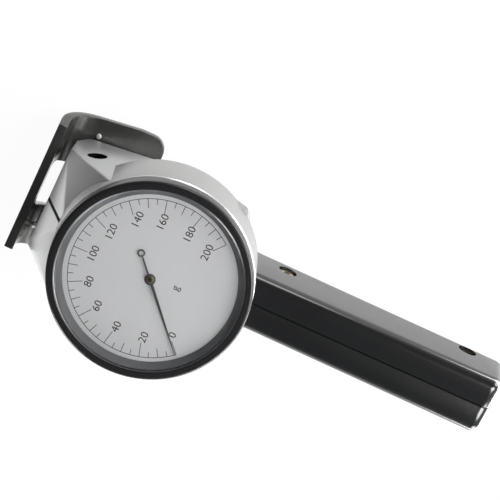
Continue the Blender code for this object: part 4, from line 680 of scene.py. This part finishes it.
def makeHandleHalf(name, side):
    s = handleSizes
    inner = s["parting"] / 2
    low, high = sorted((side * inner, side * s["neckHalf"]))
    bm = block((low, s["end"], s["back"]), (high, s["top"], s["front"]))
    atParting = (inner + partingReach) * mm
    halfway = (s["top"] + s["end"]) / 2 * mm
    middle = (s["front"] + s["back"]) / 2 * mm
    for vert in bm.verts:
        atEnd = vert.co.y < halfway
        if atEnd and abs(vert.co.x) > atParting:
            vert.co.x = side * s["endHalf"] * mm
        if atEnd and vert.co.z < middle:
            vert.co.z = s["endBack"] * mm
            vert.co.y -= s["rake"] * mm
    corners = []
    for e in bm.edges:
        a, b = e.verts
        endEdge = a.co.y < halfway and b.co.y < halfway
        lengthwise = (a.co.y < halfway) != (b.co.y < halfway)
        onParting = abs(a.co.x) < atParting and abs(b.co.x) < atParting
        if (lengthwise or endEdge) and not onParting:
            corners.append(e)
    bevelled(bm, corners, s["corner"], 10)
    seam = [e for e in bm.edges if all(abs(v.co.x) < atParting for v in e.verts)
            and not all(v.co.y > (s["top"] - partingReach) * mm for v in e.verts)]
    bevelled(bm, seam, s["groove"], 2)
    tools = [rod(drumRoom, s["front"] - s["drumStep"], past, steps=roundSteps)]
    if side > 0:
        tools += sideHoles(handleScrews)
    bm = carved(bm, tools)
    addPiece(name + "Shell", bm, blackPlastic, [name], angle=30)


def makeHandleSeam():
    # a dark strip deep in the gap, so that nothing shines through it
    s = handleSizes
    half, thick = s["stripHalf"], s["stripThick"]
    low, back = s["end"] + s["stripEnd"], s["endBack"] + s["stripBack"]
    front = s["front"] - s["stripFront"]
    strip = block((-half, low, back), (half, s["stripTop"], front))
    inside = block((-1, low + thick, back + thick), (1, s["stripTop"] + past, front - thick))
    addPiece("handleSeam", carved(strip, [inside]), deepBlack)


makeHandleHalf("handle_left", -1)
makeHandleHalf("handle_right", 1)
makeHandleSeam()
makeSideScrews("handle", handleScrews)
print("handle ready")


# Guard: a flat blank with a window, bent to shape

guardSizes = {
    "thickness": 3.8,
    "topY": 57.96,
    "frontZ": -47.5,
    "bendY": 42.46,
    "bendZ": -52.5,
    "outerRadius": 15.5,
    # the flat blank's outline: X, the distance from the front edge, and the corner's radius
    "right": ((28.9, 0, 0.4), (31.2, 9.5, 12.0), (36.0, 44.0, 20.0), (36.0, 55.76, 6.4)),
    "left": ((-36.0, 55.76, 6.4), (-36.0, 44.0, 20.0), (-29.6, 20.0, 12.0), (-29.6, 0, 0.4)),
    "windowHalf": 10.5,
    "windowFrom": 9.6,
    "windowTo": 30.3,
    "windowCorner": 3.2,
    "edge": 0.45,
    "bendCuts": 30,
    "bendRun": 21.36,
    "padRadius": 4.4,
    "padSunk": 0.3,
    "padBack": -66.0,
    "padFront": -55.0,
    "screwRoom": 3.0,
    "holeBack": -67.0,
}
pinSizes = {
    "radius": 1.1,
    "dome": 0.5,
    "proud": 1.6,
    "length": 3.8,
    "places": {("inner", "left"): (-20.2, 49.7), ("outer", "left"): (-26.2, 40.7),
               ("outer", "right"): (26.2, 40.7)},
}


def bendBlank(bm):
    # along X as it is, along Y the distance round the bend, along Z the depth under the outer face
    g = guardSizes
    bar = g["frontZ"] - g["bendZ"]
    middle = g["outerRadius"] - g["thickness"] / 2
    bendLength = middle * math.pi / 2
    for vert in bm.verts:
        along, deep = vert.co.y / mm, vert.co.z / mm
        if along <= bar:
            y, z = g["topY"] - deep, g["frontZ"] - along
        elif along >= bar + bendLength:
            y, z = g["bendY"] - (along - bar - bendLength), g["bendZ"] - g["outerRadius"] + deep
        else:
            turn = (along - bar) / middle
            radius = g["outerRadius"] - deep
            y, z = g["bendY"] + radius * math.cos(turn), g["bendZ"] - radius * math.sin(turn)
        vert.co = (vert.co.x, y * mm, z * mm)
    bmesh.ops.recalc_face_normals(bm, faces=bm.faces)


def guardBlank():
    g = guardSizes
    outline = softCorners([*g["right"], *g["left"]], 10)
    half, near, far, corner = (g[key] for key in ("windowHalf", "windowFrom", "windowTo", "windowCorner"))
    window = softCorners([(-half, near, corner), (-half, far, corner), (half, far, corner),
                          (half, near, corner)], 8)
    blank = carved(prism(outline, 0, g["thickness"]), [prism(window, -1, g["thickness"] + 1)])
    bmesh.ops.dissolve_limit(blank, angle_limit=math.radians(1), verts=blank.verts, edges=blank.edges)
    bevelled(blank, sharpEdges(blank, 50), g["edge"], 3)
    for step in range(g["bendCuts"] + 1):
        along = (g["frontZ"] - g["bendZ"] + g["bendRun"] * step / g["bendCuts"]) * mm
        geometry = blank.verts[:] + blank.edges[:] + blank.faces[:]
        bmesh.ops.bisect_plane(blank, geom=geometry, dist=weld / 2 * mm, plane_co=(0, along, 0),
                               plane_no=(0, 1, 0))
    bmesh.ops.triangulate(blank, faces=[f for f in blank.faces if len(f.verts) > 4])
    bendBlank(blank)
    return blank


def makeGuard():
    # two pads stand on the plate and end on the head's sloping back
    g = guardSizes
    topY, topZ = headSizes["backTop"]
    footY, footZ = headSizes["backFoot"]
    slope = (topZ - footZ) / (topY - footY)
    y = guardScrews["y"]
    seat = Vector((0, y, topZ + slope * (y - topY) - g["padSunk"])) * mm
    pads = []
    holes = []
    for x in (-guardScrews["x"], guardScrews["x"]):
        pad = rod(g["padRadius"], g["padBack"], g["padFront"], (x, y))
        sliceOff(pad, seat, Vector((0, -slope, 1)).normalized())
        pads.append(pad)
        holes.append(rod(g["screwRoom"], g["padBack"] - past, g["padBack"], (x, y)))
        holes.append(rod(screwHole, g["holeBack"], g["padFront"], (x, y)))
    bm = carved(carved(guardBlank(), pads, "UNION"), holes)
    addPiece("guardPlate", bm, gunmetal, ["guard"], angle=30)


def makeGuidePins():
    # each domed pin stands on the guard's inner face, which curves away past the bend's start
    p = pinSizes
    inner = guardSizes["outerRadius"] - guardSizes["thickness"]
    for (kind, label), (x, y) in p["places"].items():
        rise = max(y - guardSizes["bendY"], 0)
        front = guardSizes["bendZ"] - math.sqrt(inner ** 2 - rise ** 2) + p["proud"]
        dome = [(p["radius"] * math.sin(a), front - p["dome"] * (1 - math.cos(a)))
                for a in [math.pi / 2 * step / 8 for step in range(9)]]
        bm = spun([*dome, (p["radius"], front - p["length"]), (0, front - p["length"])], 40)
        bm.transform(Matrix.Translation((x * mm, y * mm, 0)))
        addPiece(f"guidePin{kind.title()}{label.title()}", bm, pinSteel, [f"guide_pin_{kind}_{label}"])


makeGuard()
makeGuidePins()
for label, side in (("left", -1), ("right", 1)):
    makeScrew(f"guardScrew{label.title()}", f"guard_screw_{label}", steel, backScrew, guardScrews["length"],
              (side * guardScrews["x"], guardScrews["y"], guardScrews["seat"]), (0, 0, -1))
print("guard ready")


# Drum, bezel and dial ring

drumSizes = {
    "outer": 41.8,
    "inner": 39.6,
    "front": -2.0,
    "back": -27.0,
    "floor": -24.8,
    "opening": 26.0,
    "shelf": 34.7,
    "shelfFront": -1.1,
    "shelfBack": (-2.5, -4.7),
    "groove": (38.0, -3.8),
    "lineInner": 41.2,
    "lineFront": -1.85,
    "lineBack": -2.9,
    "lineChamfer": 0.3,
    "frontCorner": 0.7,
    "backCorner": 0.6,
    "openingCorner": 0.3,
    "floorCorner": 0.2,
    "shelfCorner": 0.1,
}
bezelSizes = {
    "outer": 41.6,
    "front": 5.0,
    "back": -1.7,
    "crown": 38.5,
    "skirt": (38.7, 39.3, -3.0),
    "lip": 37.8,
    "lipBack": 4.3,
    "lipFront": 4.6,
    "lineOuter": 38.12,
    "lineBack": 4.5,
    "lineCrown": ((0, 4.66), (0.15, 4.8), (0.32, 4.86)),
    "outerCorner": 1.3,
    "corner": 0.2,
    "skirtCorner": 0.1,
    "lipCorners": (0.05, 0.1),
}
ringSizes = {
    "inner": 35.15,
    "outer": 38.1,
    "back": 0.3,
    "front": 2.5,
    "ledge": 1.0,
    "ledgeHalf": (35.9, 36.0),
    "lead": (0.05, 0.15),
    "coneTop": 37.7,
}


def makeDrum():
    d = drumSizes
    grooveRadius, grooveBack = d["groove"]
    shelfInner, shelfOuter = d["shelfBack"]
    bm = spun(softCorners([
        (d["inner"], d["front"], 0), (d["outer"], d["front"], d["frontCorner"]),
        (d["outer"], d["back"], d["backCorner"]), (d["opening"], d["back"], d["openingCorner"]),
        (d["opening"], d["floor"], d["floorCorner"]), (d["inner"], d["floor"], d["backCorner"]),
        (d["inner"], shelfOuter, 0), (d["shelf"], shelfInner, 0),
        (d["shelf"], d["shelfFront"], d["shelfCorner"]), (grooveRadius, d["shelfFront"], d["shelfCorner"]),
        (grooveRadius, grooveBack, 0), (d["inner"], grooveBack, 0)]), roundSteps)
    addPiece("drumTurned", bm, drumSilver, ["dial_drum"], angle=25)
    # painted highlight: a lighter, more metallic band round the drum's front edge, standing in for the edge
    # catching the light
    chamfer = d["lineChamfer"]
    edge = spun([(d["lineInner"], d["lineFront"]), (d["outer"] - chamfer, d["lineFront"]),
                 (d["outer"], d["lineFront"] - chamfer), (d["outer"], d["lineBack"]),
                 (d["lineInner"], d["lineBack"])], roundSteps)
    addPiece("drumEdgeHighlight", edge, paintedHighlightEdge, angle=25)


def makeBezel():
    b = bezelSizes
    skirtInner, skirtOuter, skirtBack = b["skirt"]
    lipBackCorner, lipFrontCorner = b["lipCorners"]
    bm = spun(softCorners([
        (b["crown"], b["front"], b["corner"]), (b["outer"], b["front"], b["outerCorner"]),
        (b["outer"], b["back"], b["corner"]), (skirtOuter, b["back"], 0),
        (skirtOuter, skirtBack, b["skirtCorner"]), (skirtInner, skirtBack, b["skirtCorner"]),
        (skirtInner, b["lipBack"], 0), (b["lip"], b["lipBack"], lipBackCorner),
        (b["lip"], b["lipFront"], lipFrontCorner)], 8), roundSteps)
    addPiece("bezelRing", bm, bezelBlack, ["bezel"], angle=25)
    # painted highlight: a grey metallic line round the bezel's inner lip, standing in for the light caught
    # on its edge
    crown = [(b["lip"] + across, height) for across, height in b["lineCrown"]]
    line = spun([(b["lip"], b["lineBack"]), *crown, (b["lineOuter"], b["lineBack"])], roundSteps)
    addPiece("bezelHighlightLine", line, highlightGrey, angle=25)


def makeDialRing():
    r = ringSizes
    leadAcross, leadUp = r["lead"]
    bm = spun([(r["coneTop"], r["front"]), (r["outer"], r["front"]), (r["outer"], r["back"]),
               (r["inner"], r["back"]), (r["inner"] + leadAcross, r["back"] + leadUp),
               *((radius, r["ledge"]) for radius in r["ledgeHalf"])], roundSteps)
    addPiece("dialRingTurned", bm, ringGrey, ["dial_ring"], angle=20)


makeDrum()
makeBezel()
makeDialRing()
print("drum and bezel ready")


# Dial print: scale lines, arc and plain numbers

dialSizes = {
    "arc": 33.4,
    "lowered": -0.35,
    "line": 0.26,
    "longLine": 6.0,
    "middleLine": 3.9,
    "shortLine": 2.35,
    "zero": 221.7,
    "sweep": 261.0,
    "divisions": 40,
    "low": 0.004,
    "height": 0.03,
    "digits": 4.45,
    "digitHalf": 0.013,
    "squeeze": 1.06,
    "numbers": {
        "0": (-17.9, -17.9), "20": (-23.8, -7.8), "40": (-24.4, 3.9), "60": (-19.6, 14.4),
        "80": (-11.6, 21.5), "100": (-0.2, 24.6), "120": (11.2, 21.8), "140": (20.3, 14.4),
        "160": (23.6, 5.0), "180": (23.5, -6.7), "200": (19.7, -16.1), "g": (0.7, -10.7),
    },
}


def scaleLine(angle, length):
    d = dialSizes
    bm = block((d["arc"] - length, -d["line"] / 2, d["low"]), (d["arc"], d["line"] / 2, d["height"]))
    bm.transform(Matrix.Rotation(math.radians(angle), 4, "Z"))
    return bm


def scaleArc():
    d = dialSizes
    steps = 160
    start, end = math.radians(d["zero"]), math.radians(d["zero"] - d["sweep"])
    outer = arcPoints(d["arc"] + d["line"] / 2, start, end, steps)
    inner = arcPoints(d["arc"] - d["line"] / 2, end, start, steps)
    return prism(outer + inner, d["low"], d["height"])


def makeScale():
    d = dialSizes
    lines = [scaleArc()]
    for step in range(d["divisions"] + 1):
        angle = d["zero"] - d["sweep"] * step / d["divisions"]
        length = d["longLine"] if step % 4 == 0 else d["middleLine"] if step % 2 == 0 else d["shortLine"]
        lines.append(scaleLine(angle, length))
    scale = joined(lines)
    bmesh.ops.translate(scale, verts=scale.verts, vec=(0, d["lowered"] * mm, 0))
    addPiece("dialScale", scale, inkBlack)


def letterMesh(text, x, y):
    d = dialSizes
    curve = bpy.data.curves.new("digits", "FONT")
    curve.body = text
    curve.size = d["digits"] * mm
    curve.extrude = d["digitHalf"] * mm
    curve.align_x = "CENTER"
    curve.align_y = "CENTER"
    curve.resolution_u = 4
    writer = bpy.data.objects.new("digits", curve)
    scene.collection.objects.link(writer)
    bpy.context.view_layer.update()
    mesh = bpy.data.meshes.new_from_object(writer.evaluated_get(bpy.context.evaluated_depsgraph_get()))
    bpy.data.objects.remove(writer)
    bm = bmesh.new()
    bm.from_mesh(mesh)
    bpy.data.meshes.remove(mesh)
    bmesh.ops.remove_doubles(bm, verts=bm.verts, dist=weld / 2 * mm)
    squeeze = Matrix.Diagonal((d["squeeze"], 1, 1, 1))
    lifted = (d["low"] + d["digitHalf"]) * mm
    bm.transform(Matrix.Translation((x * mm, y * mm, lifted)) @ squeeze)
    return bm


def makeNumbers():
    letters = [letterMesh(text, x, y) for text, (x, y) in dialSizes["numbers"].items()]
    addPiece("dialNumbers", joined(letters), inkBlack)


makeScale()
makeNumbers()
print("dial print ready")


# Pointer and hub

pointerSizes = {
    "length": 33.3,
    "root": 1.25,
    "tip": 0.4,
    "eye": 2.3,
    "tail": 11.5,
    "tailWidth": 0.65,
    "ring": 1.6,
    "ringHole": 0.95,
    "low": 1.0,
    "high": 1.35,
    "point": 0.4,
    "hole": 1.7,
    "edge": 0.06,
    "atZero": 221.5,
}
hubSizes = {
    "bore": 0.95,
    "neck": 1.5,
    "flange": 2.2,
    "low": 0.45,
    "step": 0.8,
    "high": 1.9,
    "boreCorner": 0.1,
    "neckCorner": 0.2,
    "flangeCorner": 0.12,
}


def makePointer():
    p = pointerSizes
    root, tail = p["root"] / 2, p["tailWidth"] / 2
    bladeTurn = math.asin(root / p["eye"])
    tailTurn = math.asin(tail / p["eye"])
    ringTurn = math.asin(tail / p["ring"])
    shoulder = p["length"] - p["point"]
    outline = [(shoulder, -p["tip"] / 2), (p["length"], 0), (shoulder, p["tip"] / 2)]
    outline += arcPoints(p["eye"], bladeTurn, math.pi - tailTurn, 16)
    outline += arcPoints(p["ring"], ringTurn, 2 * math.pi - ringTurn, 32, (-p["tail"], 0))
    outline += arcPoints(p["eye"], math.pi + tailTurn, 2 * math.pi - bladeTurn, 16)
    bm = prism(outline, p["low"], p["high"])
    bm = carved(bm, [rod(p["hole"], 0, past, steps=40),
                     rod(p["ringHole"], 0, past, (-p["tail"], 0), steps=32)])
    bmesh.ops.dissolve_limit(bm, angle_limit=math.radians(1), verts=bm.verts, edges=bm.edges)
    bevelled(bm, sharpEdges(bm, 60), p["edge"], 2)
    bm.transform(Matrix.Rotation(math.radians(p["atZero"]), 4, "Z"))
    addPiece("pointerBlade", bm, pointerBlack, ["pointer"], "pointer")


def makeHub():
    h = hubSizes
    hub = spun(softCorners([
        (h["bore"], h["high"], h["boreCorner"]), (h["neck"], h["high"], h["neckCorner"]),
        (h["neck"], h["step"], 0), (h["flange"], h["step"], h["flangeCorner"]),
        (h["flange"], h["low"], h["flangeCorner"]), (h["bore"], h["low"], 0)]), 64)
    addPiece("hubCollar", hub, brass, ["pointer_hub"], "pointer")


makePointer()
makeHub()
print("pointer ready")


# Finishes on the frame's own pieces

# the nodes not named here are steel
plainPieces = {"dial_plate": dialSilver, "dial_glass": glass}
for nodeName in ("hairspring", "measuring_spring"):
    plainPieces[nodeName] = springSteel
for nodeName in ("hairspring_stud", "movement_front_plate", "movement_back_plate", "plunger_frame",
                 "sector_gear", "fork_arm"):
    plainPieces[nodeName] = brass
for nodeName, node in frame["nodes"].items():
    finish = plainPieces.get(nodeName, steel)
    if node.data.materials:
        node.data.materials[0] = finish
    else:
        node.data.materials.append(finish)
print("frame pieces dressed")


# Studio

# The camera, in the gauge's frame: its picture is frameWidth wide at the dial, and turn is the cosine and
# sine of the picture's own turn. The lights are in metres and watts in the frame's own axes.
cameraSizes = {
    "lens": 180.83,
    "sensor": 36.0,
    "frameWidth": 199.08,
    "aim": (26.63, -31.57),
    "right": (0.95517, 0.00017, -0.29606),
    "up": (-0.02792, 0.99559, -0.08951),
    "turn": (0.4115, 0.9114),
}
lights = {
    "leftLight": {"where": (-0.903, 0.329, 0.306), "size": 0.35, "power": 5.5},
    "lowLeftLight": {"where": (-0.683, -0.683, 0.289), "size": 0.5, "power": 5.2},
    "handleLight": {"where": (0.0, -0.707, 0.737), "size": 0.5, "power": 7.0},
    "lowRightLight": {"where": (0.5, -0.5, 0.737), "size": 0.5, "power": 5.5, "mirrored": False},
    "lowLight": {"where": (0.6, -0.75, 0.2), "size": 0.5, "power": 4.0},
    "rightLight": {"where": (0.95, 0.0, 0.25), "size": 0.4, "power": 1.9},
    "tableLight": {"where": (0.0, -0.25, 0.0008), "target": (0.0, -0.25, 1.0), "size": 0.6, "depth": 0.25,
                   "power": 6.6},
}
lightTarget = (0, 0.03, 0.04)
floorTones = {
    "colour": 0.86,
    "seen": 1.04,
    "glowShare": 0.9,
    "leftBand": 2.2,
    "rightBand": 0.9,
    "bandSides": (0.0, 0.02),
    "bandStart": (0.085, 0.105),
    "bandEnd": (0.141, 0.153),
    "beyond": 0.02,
}
worldTones = {"low": 0.4, "high": 0.03, "heights": (0.1, 0.5)}


def makeCamera():
    s = cameraSizes
    right, up = Vector(s["right"]), Vector(s["up"])
    aim = right * s["aim"][0] + up * s["aim"][1]
    distance = s["lens"] / s["sensor"] * s["frameWidth"]
    small, large = s["turn"]
    imageRight = (right * small - up * large).normalized()
    imageUp = (right * large + up * small).normalized()
    outward = imageRight.cross(imageUp)
    turned = Matrix((imageRight, imageUp, outward)).transposed().to_4x4()
    turned.translation = (aim + outward * distance) * mm
    data = bpy.data.cameras.new("camera")
    data.lens = s["lens"]
    data.sensor_width = s["sensor"]
    camera = bpy.data.objects.new("camera", data)
    camera.matrix_world = place @ turned
    scene.collection.objects.link(camera)
    scene.camera = camera


def makeLight(name, values):
    data = bpy.data.lights.new(name, "AREA")
    data.shape = "RECTANGLE" if "depth" in values else "DISK"
    data.size = values["size"]
    data.size_y = values.get("depth", values["size"])
    data.energy = values["power"]
    light = bpy.data.objects.new(name, data)
    spot = Vector(values["where"])
    aim = (Vector(values.get("target", lightTarget)) - spot).to_track_quat("-Z", "Y")
    light.matrix_world = Matrix.Translation(spot) @ aim.to_matrix().to_4x4()
    light.visible_camera = False
    light.visible_glossy = values.get("mirrored", True)
    scene.collection.objects.link(light)


def ramp(tree, source, ends, values):
    # a value that goes from one number to another as the source goes between its ends
    node = addNode(tree, "ShaderNodeMapRange", {"From Min": ends[0], "From Max": ends[1],
                                                "To Min": values[0], "To Max": values[1]})
    tree.links.new(source, node.inputs["Value"])
    return node


def combined(tree, operation, first, second):
    node = addNode(tree, "ShaderNodeMath", operation=operation)
    tree.links.new(first, node.inputs[0])
    tree.links.new(second, node.inputs[1])
    return node.outputs["Value"]


def dressFloor(finish):
    # mirrored in the part, the floor has a bright band behind it and is dark beyond, like a graded backdrop
    tones = floorTones
    tree = finish.node_tree
    shader = tree.nodes["Principled BSDF"]
    shader.inputs["Base Color"].default_value = (*[tones["colour"]] * 3, 1)
    shader.inputs["Roughness"].default_value = 0.9
    rays = addNode(tree, "ShaderNodeLightPath").outputs
    spot = addNode(tree, "ShaderNodeSeparateXYZ")
    tree.links.new(addNode(tree, "ShaderNodeNewGeometry").outputs["Position"], spot.inputs["Vector"])
    side = ramp(tree, spot.outputs["X"], tones["bandSides"], (tones["leftBand"], tones["rightBand"]))
    band = ramp(tree, spot.outputs["Y"], tones["bandStart"], (1, 1))
    tree.links.new(side.outputs["Result"], band.inputs["To Max"])
    behind = ramp(tree, spot.outputs["Y"], tones["bandEnd"], (1, tones["beyond"]))
    graded = combined(tree, "MULTIPLY", band.outputs["Result"], behind.outputs["Result"])
    strength = ramp(tree, rays["Is Camera Ray"], (0, 1), (0, tones["seen"]))
    tree.links.new(graded, strength.inputs["To Min"])
    glow = addNode(tree, "ShaderNodeEmission", {"Color": (1, 1, 1, 1)})
    tree.links.new(strength.outputs["Result"], glow.inputs["Strength"])
    seen = combined(tree, "MAXIMUM", rays["Is Camera Ray"], rays["Is Glossy Ray"])
    seen = combined(tree, "MAXIMUM", seen, rays["Is Transmission Ray"])
    share = addNode(tree, "ShaderNodeMath", {1: tones["glowShare"]}, operation="MULTIPLY")
    tree.links.new(seen, share.inputs[0])
    mix = addNode(tree, "ShaderNodeMixShader")
    tree.links.new(share.outputs["Value"], mix.inputs["Fac"])
    tree.links.new(shader.outputs["BSDF"], mix.inputs[1])
    tree.links.new(glow.outputs["Emission"], mix.inputs[2])
    tree.links.new(mix.outputs["Shader"], tree.nodes["Material Output"].inputs["Surface"])


def makeFloor():
    bm = bmesh.new()
    bmesh.ops.create_grid(bm, x_segments=1, y_segments=1, size=3.0)
    mesh = bpy.data.meshes.new("floor")
    bm.to_mesh(mesh)
    bm.free()
    floor = bpy.data.objects.new("floor", mesh)
    scene.collection.objects.link(floor)
    finish = bpy.data.materials.new("paleFloor")
    finish.use_nodes = True
    dressFloor(finish)
    mesh.materials.append(finish)


def makeWorld():
    # dim overhead and bright near the horizon, like a backdrop; white where the camera looks past all
    world = bpy.data.worlds.new("studio")
    world.use_nodes = True
    scene.world = world
    tree = world.node_tree
    background = tree.nodes["Background"]
    rays = addNode(tree, "ShaderNodeLightPath")
    height = addNode(tree, "ShaderNodeSeparateXYZ")
    tree.links.new(addNode(tree, "ShaderNodeTexCoord").outputs["Generated"], height.inputs["Vector"])
    band = ramp(tree, height.outputs["Z"], worldTones["heights"], (worldTones["low"], worldTones["high"]))
    seen = combined(tree, "MAXIMUM", rays.outputs["Is Camera Ray"], band.outputs["Result"])
    tree.links.new(seen, background.inputs["Strength"])
    background.inputs["Color"].default_value = (1, 1, 1, 1)


makeCamera()
makeFloor()
makeWorld()
for lightName, lightValues in lights.items():
    makeLight(lightName, lightValues)
scene.view_settings.view_transform = "Standard"
print("studio ready")
